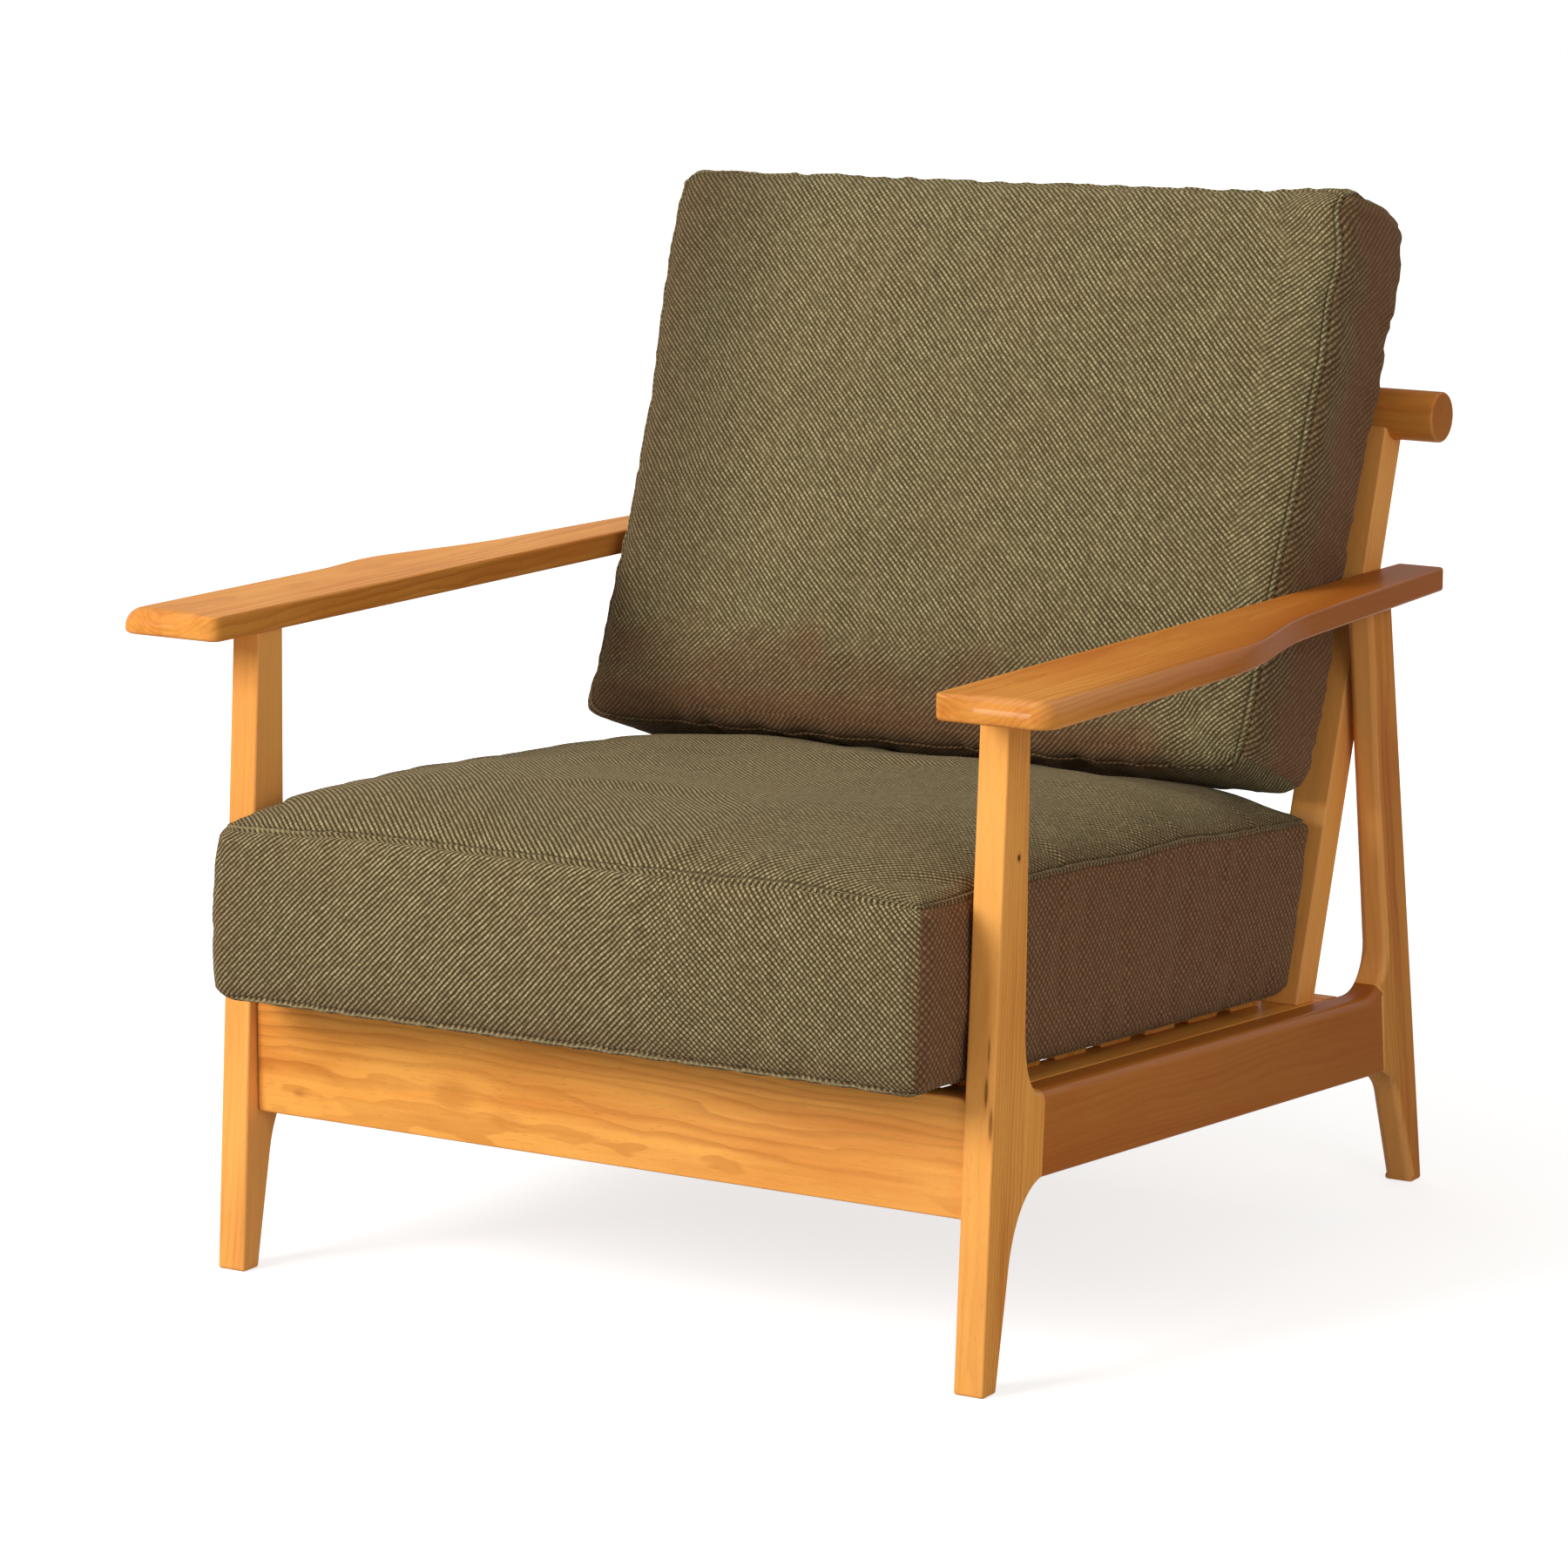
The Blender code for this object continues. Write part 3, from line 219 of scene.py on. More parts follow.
# Places worked out from the sizes
inner_face = FRAME_WIDTH / 2 - STOCK
side_centre = FRAME_WIDTH / 2 - STOCK / 2
post_outer = inner_face - POST_INSET
post_centre = post_outer - POST_WIDTH / 2
arm_inner = post_outer + GAP
along_deck = Vector((0, math.cos(DECK_FALL), -math.sin(DECK_FALL)))
up_deck = Vector((0, math.sin(DECK_FALL), math.cos(DECK_FALL)))
post_axis = Vector((0, math.sin(POST_LEAN), math.cos(POST_LEAN)))
post_back = Vector((0, math.cos(POST_LEAN), -math.sin(POST_LEAN)))

Corner = namedtuple("Corner", "point outer inner joint", defaults=(False,))


def deck(y):
    """Height of the side rails' top plane."""
    return DECK_HEIGHT - y * math.tan(DECK_FALL)


def arm_underside(y):
    """Height of the armrests' lower face."""
    return ARM_HEIGHT - ARM_THICKNESS - (y + ARM_FRONT_OVERHANG) * math.tan(ARM_FALL)


def front_edge(z):
    """Front edge of the front legs."""
    return z * math.tan(FRONT_LEAN)


def rear_edge(z):
    """Back edge of the rear legs."""
    return FOOT_SPREAD - z * math.tan(REAR_LEAN)


def smooth(value):
    """Eased step from 0 to 1, for numbers and arrays."""
    value = np.clip(value, 0, 1)
    return value * value * (3 - 2 * value)


def rise(value, start, end):
    """Eased step from 0 at start to 1 at end, whichever of the two is larger."""
    return smooth((value - start) / (end - start))


def bell(value, centre, spread):
    """Bell-shaped share round a place."""
    return np.exp(-((value - centre) / spread) ** 2)


# Blender's data

def add_object(name, data):
    """New object in the scene."""
    item = bpy.data.objects.new(name, data)
    bpy.context.scene.collection.objects.link(item)
    return item


def read_vectors(source, field):
    """Vectors of a mesh's vertices as rows."""
    values = np.zeros(len(source) * 3)
    source.foreach_get(field, values)
    return values.reshape(-1, 3)


def add_values(mesh, name, values, domain="POINT", kind="FLOAT"):
    """Writes a number or vector on each point or face corner of a mesh."""
    field = "vector" if kind == "FLOAT_VECTOR" else "value"
    attribute = mesh.attributes.new(name, kind, domain)
    attribute.data.foreach_set(field, np.asarray(values, np.float32).ravel())


# Outlines of the boards

def bend(start, heading, end, end_heading):
    """Points after start along a curve that leaves and arrives in the given directions."""
    start = Vector(start)
    end = Vector(end)
    reach = (end - start).length * BEND_HOLD_SHARE
    leave = start + Vector(heading).normalized() * reach
    arrive = end - Vector(end_heading).normalized() * reach
    points = []
    for step in range(1, BEND_STEPS + 1):
        t = step / BEND_STEPS
        s = 1 - t
        near_start = start * s ** 3 + leave * 3 * s * s * t
        points.append(near_start + arrive * 3 * s * t * t + end * t ** 3)
    return points


def fillet(before, corner, after, radius, steps=FILLET_STEPS):
    """Points of the round corner between two straight runs."""
    corner = Vector(corner)
    towards = (Vector(before) - corner).normalized()
    away = (Vector(after) - corner).normalized()
    half = towards.angle(away) / 2
    centre = corner + (towards + away).normalized() * radius / math.sin(half)
    first = corner + towards * radius / math.tan(half) - centre
    last = corner + away * radius / math.tan(half) - centre
    sweep = first.angle(last)
    points = []
    for step in range(steps + 1):
        t = step / steps
        spoke = first * math.sin((1 - t) * sweep) + last * math.sin(t * sweep)
        points.append(centre + spoke / math.sin(sweep))
    return points


def with_edges(points, outer, inner=None, joint=False):
    """Corners that share their edge roundings."""
    inner = outer if inner is None else inner
    return [Corner(Vector(point), outer, inner, joint) for point in points]


def inset_direction(before, corner, after):
    """Way a corner moves when its soft edges move in by one; joints stay in their plane."""
    coming = (corner.point - before.point).normalized()
    going = (after.point - corner.point).normalized()
    coming_in = Vector((-coming.y, coming.x))
    going_in = Vector((-going.y, going.x))
    if before.joint and corner.joint:
        return Vector((0, 0))
    if before.joint:
        return -coming / -coming.dot(going_in)
    if corner.joint:
        return going / going.dot(coming_in)
    return (coming_in + going_in) / (1 + coming_in.dot(going_in))


# Wooden pieces: each vertex knows its place along, across and through the board

AXES = {"x": Matrix(((0, 0, 1), (1, 0, 0), (0, 1, 0))),
        "y": Matrix(((0, 1, 0), (0, 0, 1), (1, 0, 0))),
        "z": Matrix.Identity(3)}


def wood_mesh(name, vertices, faces, edge_gloss_and_shade):
    """Mesh with smooth shading between its sharp edges and a value on its vertices marking the
    edges' roundings, for gloss and painted shade.
    """
    mesh = bpy.data.meshes.new(name)
    mesh.from_pydata(vertices, [], faces)
    mesh.shade_smooth()
    mesh.set_sharp_from_angle(angle=SHARP_ANGLE)
    add_values(mesh, "edge_gloss_and_shade", edge_gloss_and_shade)
    return mesh


def stacked(name, rings, edge_shares):
    """Closed solid through rings of equal length, capped flat at both ends."""
    count = len(rings[0])
    vertices = [vertex for ring in rings for vertex in ring]
    faces = [tuple(reversed(range(count)))]
    for level in range(len(rings) - 1):
        low = level * count
        high = low + count
        for index in range(count):
            after = (index + 1) % count
            faces.append((low + index, low + after, high + after, high + index))
    last = (len(rings) - 1) * count
    faces.append(tuple(range(last, last + count)))
    return wood_mesh(name, vertices, faces, np.repeat(edge_shares, count))


def edge_rounding_shares(steps):
    """Share of an edge's rounding, largest in its middle."""
    return [math.sin(math.pi * step / steps) for step in range(steps + 1)]


def slab(name, corners, thickness, axis, steps):
    """Outline extruded along an axis to both sides; each corner rounds the edges of both faces."""
    turn = AXES[axis]
    ways = [inset_direction(corners[index - 1], corner, corners[(index + 1) % len(corners)])
            for index, corner in enumerate(corners)]

    def ring(side, step):
        angle = math.pi / 2 * step / steps
        points = []
        for corner, way in zip(corners, ways):
            radius = corner.outer if side > 0 else corner.inner
            flat = corner.point + way * radius * (1 - math.sin(angle))
            depth = thickness / 2 - radius * (1 - math.cos(angle))
            points.append(turn @ Vector((flat.x, flat.y, side * depth)))
        return points

    # angle 0 is the flat face's rim, a quarter turn is the side wall's rim
    lower = [ring(-1, step) for step in range(steps + 1)]
    upper = [ring(1, step) for step in range(steps, -1, -1)]
    edge_shares = edge_rounding_shares(steps)
    return stacked(name, lower + upper, edge_shares + edge_shares[::-1])


def turned(name, profile, sides, edge_shares):
    """Round solid along +Z through (radius, height) points, from its lower end to its upper end."""
    rings = []
    for radius, height in profile:
        rings.append([Vector((radius * math.cos(2 * math.pi * side / sides),
                              radius * math.sin(2 * math.pi * side / sides), height))
                      for side in range(sides)])
    return stacked(name, rings, edge_shares)


def mirrored(mesh, name):
    """The same shape for the other side of the chair."""
    twin = mesh.copy()
    twin.name = name
    twin.transform(Matrix.Scale(-1, 4, (1, 0, 0)))
    twin.flip_normals()
    return twin


Board = namedtuple("Board", "seed near far front", defaults=(0.0,))

# Board each seen piece is cut from: seed of its figure, shade at its near and far end, darker above
# 0 and paler below, and what is added to that on faces that look to the front. The near and far
# shades are partly the board's own tone and partly painted light and shade; the front value is
# painted light and shade by the way a face looks
BOARDS = {"front_leg_right": Board(1.3, 0.02, -0.04, -0.28),
          "front_leg_left": Board(2.1, -0.65, -0.65, 0.40),
          "rear_leg_right": Board(3.7, 0.38, 0.42, -1.15),
          "rear_leg_left": Board(4.4, 0.10, 0.10),
          "side_rail_right": Board(5.2, 0.74, 0.84),
          "side_rail_left": Board(6.9, 0.30, 0.30),
          "front_rail": Board(7.7, 0.04, -0.22),
          "armrest_right": Board(8.2, 0.36, 0.94),
          "armrest_left": Board(9.6, 0.30, 0.12),
          "back_post_right": Board(10.4, -0.40, -0.40),
          "back_post_left": Board(11.1, 0.0, 0.0),
          "top_bar": Board(12.8, 0.34, 0.34)}
SHADE_RUN = 0.5
END_GRAIN_SHADE = 0.45
shown_boards = {}


def tone_and_painted_light_of(board, along, grain, facing):
    """Shade of each vertex: own tone and painted light and shade along the board and on front
    faces, darker end grain across.
    """
    run = grain[:, 0]
    share = smooth((run - run.min()) / np.ptp(run) / SHADE_RUN)
    tones_and_painted_light = board.near + (board.far - board.near) * share
    # painted light and shade: faces that look to the front are made paler or darker by the board's
    # front value
    tones_and_painted_light += board.front * rise(-facing[:, 1], 0.25, 0.85)
    if abs(along.x) > 0.9:
        tones_and_painted_light += END_GRAIN_SHADE * rise(np.abs(facing[:, 0]), 0.5, 1.0)
    return tones_and_painted_light


def show_wood(name, mesh, node, along, offset=(0, 0, 0)):
    """Puts a wooden piece in its CAD node's place, its grain along a direction."""
    mesh.transform(Matrix.Translation(Vector(offset) + Vector((0, -shift, 0))))
    along = Vector(along).normalized()
    across = Vector((1, 0, 0)) if abs(along.x) < 0.5 else Vector((0, 0, 1))
    across = (across - along * across.dot(along)).normalized()
    through = along.cross(across)
    low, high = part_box(node)
    points = read_vectors(mesh.vertices, "co") - np.array((low + high) / 2)
    grain = points @ np.array([along, across, through]).T
    facing = read_vectors(mesh.vertex_normals, "vector")
    board = BOARDS[node]
    add_values(mesh, "grain", grain, kind="FLOAT_VECTOR")
    add_values(mesh, "board", np.full(len(grain), board.seed))
    add_values(mesh, "tone_and_painted_light", tone_and_painted_light_of(board, along, grain, facing))
    piece = add_object(name, mesh)
    weighted = piece.modifiers.new("flat faces stay flat", "WEIGHTED_NORMAL")
    weighted.keep_sharp = True
    weighted.weight = 100
    mesh.materials.clear()
    mesh.materials.append(honey_wood)
    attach(piece, "chair_frame")
    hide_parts(node)
    shown_boards[node] = piece


def show_pair(name, mesh, node, along, offset=(0, 0, 0)):
    """Right piece and its mirrored left twin."""
    twin = mirrored(mesh, name + "_left")
    x, y, z = offset
    show_wood(name + "_right", mesh, node + "_right", along, offset)
    show_wood(name + "_left", twin, node + "_left", along, (-x, y, z))


def leg_seams():
    """Ends of the seams between legs and side rails, as (y, z) points."""
    front_foot = Vector((FRONT_SEAM, deck(FRONT_SEAM) - RAIL_DEPTH))
    front_top_y = FRONT_SEAM + RAIL_DEPTH * math.sin(DECK_FALL) * math.cos(DECK_FALL)
    front_top = Vector((front_top_y, deck(front_top_y)))
    rear_foot_y = FOOT_SPREAD - REAR_SEAM
    rear_foot = Vector((rear_foot_y, deck(rear_foot_y) - RAIL_DEPTH))
    rear_top_y = rear_foot_y - REAR_SEAM_FALL
    rear_top = Vector((rear_top_y, deck(rear_top_y) + REAR_CREST))
    return front_foot, front_top, rear_foot, rear_top


def heading(angle, way=1):
    """Direction in a side view at an angle above the level, towards the rear or the front."""
    return Vector((way * math.cos(angle), math.sin(angle)))


def faded(points, start, end, inner_start=ARRIS, inner_end=ARRIS):
    """Corners whose roundings change evenly from one end to the other."""
    corners = []
    for index, point in enumerate(points):
        share = float(smooth(index / (len(points) - 1)))
        outer = start + (end - start) * share
        inner = inner_start + (inner_end - inner_start) * share
        corners.append(Corner(Vector(point), outer, inner))
    return corners


def front_leg_corners():
    """Side view of a front leg."""
    seam_foot, seam_top, _, _ = leg_seams()
    toe = Vector((0, 0))
    heel = Vector((FRONT_FOOT, 0))
    ankle = Vector((front_edge(FRONT_ANKLE_HEIGHT) + FRONT_ANKLE, FRONT_ANKLE_HEIGHT))
    neck = Vector((front_edge(FRONT_NECK_HEIGHT) + FRONT_NECK, FRONT_NECK_HEIGHT))
    top_y = front_edge(arm_underside(0))
    head_front = Vector((top_y, arm_underside(top_y) - GAP))
    head_rear = Vector((top_y + FRONT_HEAD, arm_underside(top_y + FRONT_HEAD) - GAP))
    lower = bend(ankle, ankle - heel, seam_foot, heading(FRONT_HORN_RISE))
    upper = bend(seam_top, heading(DECK_FALL, -1), neck, head_rear - neck)
    corners = with_edges(fillet(head_front, toe, heel, FOOT_ROUND), ARRIS)
    corners += with_edges(fillet(toe, heel, ankle, FOOT_ROUND), ARRIS)
    corners += with_edges([ankle] + lower[:-1], ARRIS)
    corners += with_edges([seam_foot], ARRIS, joint=True)
    corners += faded([seam_top] + upper, RAIL_ROUND, ARRIS)
    corners += with_edges([head_rear], ARRIS, joint=True)
    corners += with_edges([head_front], ARRIS)
    return corners


def rear_leg_corners():
    """Side view of a rear leg, whose front edges are rounder."""
    _, _, seam_foot, seam_top = leg_seams()
    toe = Vector((FOOT_SPREAD - REAR_FOOT, 0))
    heel = Vector((FOOT_SPREAD, 0))
    ankle = Vector((rear_edge(REAR_ANKLE_HEIGHT) - REAR_ANKLE, REAR_ANKLE_HEIGHT))
    neck = Vector((rear_edge(REAR_NECK_HEIGHT) - REAR_NECK, REAR_NECK_HEIGHT))
    top_y = rear_edge(arm_underside(FOOT_SPREAD))
    head_rear = Vector((top_y, arm_underside(top_y) - GAP))
    head_front = Vector((top_y - REAR_HEAD, arm_underside(top_y - REAR_HEAD) - GAP))
    upper = bend(neck, neck - head_front, seam_top, -heading(REAR_CREST_RISE))
    lower = bend(seam_foot, heading(-REAR_HORN_DIP), ankle, toe - ankle)
    corners = faded(fillet(ankle, toe, heel, FOOT_ROUND), REAR_LEG_ROUND, ARRIS, REAR_LEG_ROUND)
    corners += with_edges(fillet(toe, heel, head_rear, FOOT_ROUND), ARRIS)
    corners += with_edges([head_rear], ARRIS, joint=True)
    corners += with_edges([head_front], REAR_LEG_ROUND)
    corners += faded([neck] + upper[:-1], REAR_LEG_ROUND, RAIL_ROUND, REAR_LEG_ROUND)
    corners += [Corner(seam_top, RAIL_ROUND, ARRIS, True)]
    corners += faded([seam_foot] + lower, ARRIS, REAR_LEG_ROUND, ARRIS, REAR_LEG_ROUND)
    return corners


def side_rail_corners():
    """Side view of a side rail; its rear end turns up into the leg."""
    front_foot, front_top, rear_foot, rear_top = leg_seams()
    fit = Vector((GAP / math.cos(DECK_FALL), 0))
    crest_y = rear_top.x - REAR_CREST_RUN
    crest_end = (crest_y, deck(crest_y))
    crest = bend(rear_top - fit, -heading(REAR_CREST_RISE), crest_end, heading(DECK_FALL, -1))
    corners = with_edges([front_foot + fit], ARRIS)
    corners += with_edges([rear_foot - fit], ARRIS, joint=True)
    corners += with_edges([rear_top - fit] + crest, RAIL_ROUND, ARRIS)
    corners += with_edges([front_top + fit], RAIL_ROUND, ARRIS, joint=True)
    return corners


def show_side_frames():
    """Legs and side rails of both sides."""
    front = slab("front_leg", front_leg_corners(), STOCK, "x", EDGE_STEPS)
    rear = slab("rear_leg", rear_leg_corners(), STOCK, "x", EDGE_STEPS + 1)
    rail = slab("side_rail", side_rail_corners(), STOCK, "x", EDGE_STEPS + 2)
    to_side = (side_centre, 0, 0)
    upright = Vector((0, math.sin(FRONT_LEAN), math.cos(FRONT_LEAN)))
    leaning = Vector((0, -math.sin(REAR_LEAN), math.cos(REAR_LEAN)))
    show_pair("leg_front_board", front, "front_leg", upright, to_side)
    show_pair("leg_rear_board", rear, "rear_leg", leaning, to_side)
    show_pair("rail_side_board", rail, "side_rail", along_deck, to_side)


def show_front_rail():
    """Upright board between the front legs."""
    half = inner_face - GAP
    top = deck(FRONT_RAIL_SETBACK) - FRONT_RAIL_DROP
    bottom = top - FRONT_RAIL_HEIGHT
    lower_left = (bottom, -half)
    upper_left = (top, -half)
    upper_right = (top, half)
    lower_right = (bottom, half)
    outline = [lower_left] + fillet(lower_left, upper_left, upper_right, FRONT_RAIL_CORNER)
    outline += fillet(upper_left, upper_right, lower_right, FRONT_RAIL_CORNER) + [lower_right]
    mesh = slab("front_rail", with_edges(outline, ARRIS), FRONT_RAIL_THICKNESS, "y", EDGE_STEPS)
    middle = FRONT_RAIL_SETBACK + FRONT_RAIL_THICKNESS / 2
    show_wood("rail_front_board", mesh, "front_rail", (1, 0, 0), (0, middle, 0))


def arm_upper_round(point):
    """Rounding of the upper edge: full at the front and along the wide part, gone behind it."""
    wide_end = ARM_WIDE_LENGTH - ARM_FRONT_OVERHANG
    behind = smooth((point.y - wide_end + ARM_REAR_FADE_LEAD) / ARM_REAR_FADE)
    inside = 1 - smooth((point.x - arm_inner - ARM_INNER_CORNER) / ARM_FRONT_FADE)
    return ARM_ROUND + (ARM_INNER_ROUND - ARM_ROUND) * float(max(behind, inside))


def arm_corners():
    """Plan of the right armrest, wide at the front and narrowed along an S-curve."""
    front_y = -ARM_FRONT_OVERHANG
    wide_end = front_y + ARM_WIDE_LENGTH
    tail_y = FOOT_SPREAD - ARM_TAIL_SETBACK
    inner_front = Vector((arm_inner, front_y))
    outer_front = Vector((arm_inner + ARM_WIDTH, front_y))
    shoulder = Vector((arm_inner + ARM_WIDTH, wide_end))
    waist = Vector((arm_inner + ARM_WAIST_WIDTH, wide_end + ARM_CURVE_LENGTH))
    outer_tail = Vector((arm_inner + ARM_TAIL_WIDTH, tail_y))
    inner_tail = Vector((arm_inner, tail_y))
    inner_corner = fillet(inner_tail, inner_front, outer_front, ARM_INNER_CORNER)
    outer_corner = fillet(inner_front, outer_front, shoulder, ARM_OUTER_CORNER, 2 * FILLET_STEPS)
    between = [inner_corner[-1].lerp(outer_corner[0], step / ARM_FRONT_STEPS)
               for step in range(1, ARM_FRONT_STEPS)]
    fade_start = shoulder - Vector((0, ARM_REAR_FADE_LEAD))
    points = inner_corner + between + outer_corner
    points += [fade_start.lerp(shoulder, step / ARM_FRONT_STEPS)
               for step in range(ARM_FRONT_STEPS + 1)]
    points += bend(shoulder, (0, 1), waist, outer_tail - waist)
    points += fillet(waist, outer_tail, inner_tail, ARM_TAIL_CORNER)
    points += fillet(outer_tail, inner_tail, inner_front, ARM_TAIL_CORNER)
    return [Corner(point, arm_upper_round(point), ARM_UNDER_ROUND) for point in points]


def show_armrests():
    """Flat armrests that fall slightly to the rear."""
    mesh = slab("armrest", arm_corners(), ARM_THICKNESS, "z", ARM_EDGE_STEPS)
    fall = math.tan(ARM_FALL)
    height = ARM_HEIGHT - ARM_THICKNESS / 2 - ARM_FRONT_OVERHANG * fall
    mesh.transform(Matrix(((1, 0, 0, 0), (0, 1, 0, 0), (0, -fall, 1, height), (0, 0, 0, 1))))
    show_pair("armrest_board", mesh, "armrest", (0, 1, 0))


def rear_rail_back():
    """Upper back edge of the rear rail."""
    y = leg_seams()[2].x - REAR_RAIL_SETBACK
    return Vector((0, y, deck(y)))


def post_foot():
    """Front and back edge of a post's foot on the ledge, in the chair's middle."""
    heel = rear_rail_back() - along_deck * (REAR_RAIL_THICKNESS + GAP) - up_deck * LEDGE_DROP
    heel = heel - along_deck * POST_HEEL_ROOM + up_deck * GAP
    toe = heel - along_deck * POST_DEPTH / math.cos(POST_LEAN - DECK_FALL)
    return toe, heel


def bar_centre():
    """Middle of the top bar."""
    toe, heel = post_foot()
    return (toe + heel) / 2 + post_axis * POST_LENGTH


def show_posts():
    """Square posts, hollowed at the top to carry the bar."""
    toe, heel = post_foot()
    top = bar_centre()
    radius = BAR_RADIUS + GAP
    reach = math.asin(POST_DEPTH / 2 / radius)
    saddle = []
    for step in range(SADDLE_STEPS + 1):
        turn = reach * (1 - 2 * step / SADDLE_STEPS)
        saddle.append((top + (post_back * math.sin(turn) - post_axis * math.cos(turn)) * radius).yz)
    corners = with_edges([toe.yz], POST_ROUND, joint=True) + with_edges([heel.yz], POST_ROUND)
    corners += with_edges(saddle[:-1], POST_ROUND, joint=True)
    corners += with_edges(saddle[-1:], POST_ROUND)
    mesh = slab("back_post", corners, POST_WIDTH, "x", EDGE_STEPS)
    show_pair("post_board", mesh, "back_post", post_axis, (post_centre, 0, 0))


def show_bar():
    """Round bar across the posts, with softened ends."""
    half = post_outer + BAR_OVERHANG
    end = []
    for step in range(BAR_END_STEPS + 1):
        turn = math.pi / 2 * step / BAR_END_STEPS
        radius = BAR_RADIUS - BAR_CHAMFER * (1 - math.sin(turn))
        end.append((radius, BAR_CHAMFER * (1 - math.cos(turn)) - half))
    edge_shares = edge_rounding_shares(BAR_END_STEPS)
    profile = end + [(radius, -height) for radius, height in reversed(end)]
    mesh = turned("top_bar", profile, BAR_SIDES, edge_shares + edge_shares[::-1])
    mesh.transform(Matrix.Rotation(math.pi / 2, 4, "Y"))
    show_wood("bar_round", mesh, "top_bar", (1, 0, 0), bar_centre())


# Cushions: closed grids over a unit cube, moved by the shapes of the part's source

def boxed(unit, half, rims):
    """Points of a rounded box for points on the surface of a unit cube."""
    half = np.array(half)
    rims = np.array(rims)
    place = unit * half
    core = np.clip(place, rims - half, half - rims)
    way = (place - core) / rims
    way /= np.linalg.norm(way, axis=1)[:, None]
    return core + way * rims


def dome(across, along, power):
    """Share of the crown over a cushion's face."""
    return (1 - np.abs(across) ** power) * (1 - np.abs(along) ** power)


def sideways(across, along, wall, swell, tuck):
    """Outward move of the side walls: swollen between the seams, drawn in between the corners."""
    move = swell * wall * np.abs(across) ** WALL_POWER - tuck * (1 - along ** 2) * np.abs(across)
    return np.copysign(move, across)


def seat_half():
    """Half sizes of the seat cushion's box."""
    toe, _ = post_foot()
    rear = toe.y / math.cos(DECK_FALL) - SEAT_REAR_ROOM
    return (inner_face - SEAT_SIDE_ROOM - SEAT_SIDE_SWELL, (rear + SEAT_FRONT_OVERHANG) / 2,
            SEAT_FRONT_HEIGHT / 2)


def seat_shape(unit):
    """Surface of the seat cushion: x across, y to the rear along the deck, z from its underside."""
    half = seat_half()
    x, y, z = boxed(unit, half, (SEAT_CORNER, SEAT_CORNER, SEAT_EDGE)).T
    across, along, up = x / half[0], y / half[1], z / half[2]
    level = (up + 1) / 2
    wall = 1 - up ** 2
    run = y + half[1]
    height = (z + half[2]) * (1 + (SEAT_REAR_HEIGHT / SEAT_FRONT_HEIGHT - 1) * (along + 1) / 2)
    height -= SEAT_TOP_DROOP * smooth(1 - run / SEAT_TOP_DROOP_RUN) * level
    height -= SEAT_BOTTOM_DROOP * smooth(1 - run / SEAT_BOTTOM_DROOP_RUN) * (1 - level)
    height += SEAT_CROWN * dome(across, along, SEAT_CROWN_POWER) * level
    x = x + sideways(across, along, wall, SEAT_SIDE_SWELL, SEAT_SIDE_TUCK)
    bow = 1 - SEAT_FRONT_BOW_SHARE * across ** 2
    y = y - SEAT_FRONT_SWELL * wall * np.maximum(-along, 0) ** WALL_POWER * bow
    y = y + math.tan(SEAT_REAR_RAKE) * height * np.maximum(along, 0)
    return np.stack([x, y + half[1] - SEAT_FRONT_OVERHANG, height], 1)


def back_half():
    """Half sizes of the back cushion's box."""
    return (arm_inner - BACK_SIDE_ROOM - BACK_SIDE_SWELL, BACK_LENGTH / 2, BACK_THICKNESS / 2)


def back_shape(unit):
    """Surface of the back cushion: x across, y up along its lean, z to the front."""
    half = back_half()
    x, y, z = boxed(unit, half, (BACK_CORNER, BACK_CORNER, BACK_EDGE)).T
    across, along, up = x / half[0], y / half[1], z / half[2]
    face = (up + 1) / 2
    wall = 1 - up ** 2
    height = y + half[1]
    sag = bell(height, BACK_SAG_HEIGHT, BACK_SAG_SPREAD)
    sag *= 1 - BACK_SAG_SIDE_SHARE * across ** WALL_POWER
    thin = smooth((height - BACK_LENGTH) / BACK_TOP_THINNING_RUN + 1)
    fullness = dome(across, along, BACK_CROWN_POWER)
    z = z + BACK_CROWN * fullness * face
    z -= (BACK_REAR_SWELL * fullness + BACK_SAG * sag - BACK_TOP_THINNING * thin) * (1 - face)
    x = x + sideways(across, along, wall, BACK_SIDE_SWELL, BACK_SIDE_TUCK)
    x += BACK_SPREAD * smooth((height - BACK_SPREAD_START) / BACK_SPREAD_RUN) * across
    level = 1 - across ** WALL_POWER
    y = y - BACK_TOP_SAG * np.maximum(along, 0) ** WALL_POWER * level
    y -= BACK_BOTTOM_SWELL * wall * np.maximum(-along, 0) ** WALL_POWER * level
    return np.stack([x, y + half[1], z - half[2]], 1)


def cad_stations(half, rim, cells):
    """Places from -1 to 1 of the CAD cushion's grid."""
    flat = 1 - rim / half
    knee = 1 - rim / half * (1 - math.tan(math.pi / 8))
    inner = [flat * (2 * cell / cells - 1) for cell in range(cells + 1)]
    return np.array([-1, -knee] + inner + [knee, 1])


def stations(half, rim, cell, rim_cells):
    """Places from -1 to 1, one cell apart on the flats and much closer in the rounded rims."""
    flat = 1 - rim / half
    cells = max(2, round(2 * half * flat / cell))
    inner = np.linspace(-flat, flat, cells + 1)
    bow = np.tan(np.linspace(0, math.pi / 4, rim_cells + 1)[1:])
    outer = flat + (1 - flat) * bow
    return np.concatenate([-outer[::-1], inner, outer])


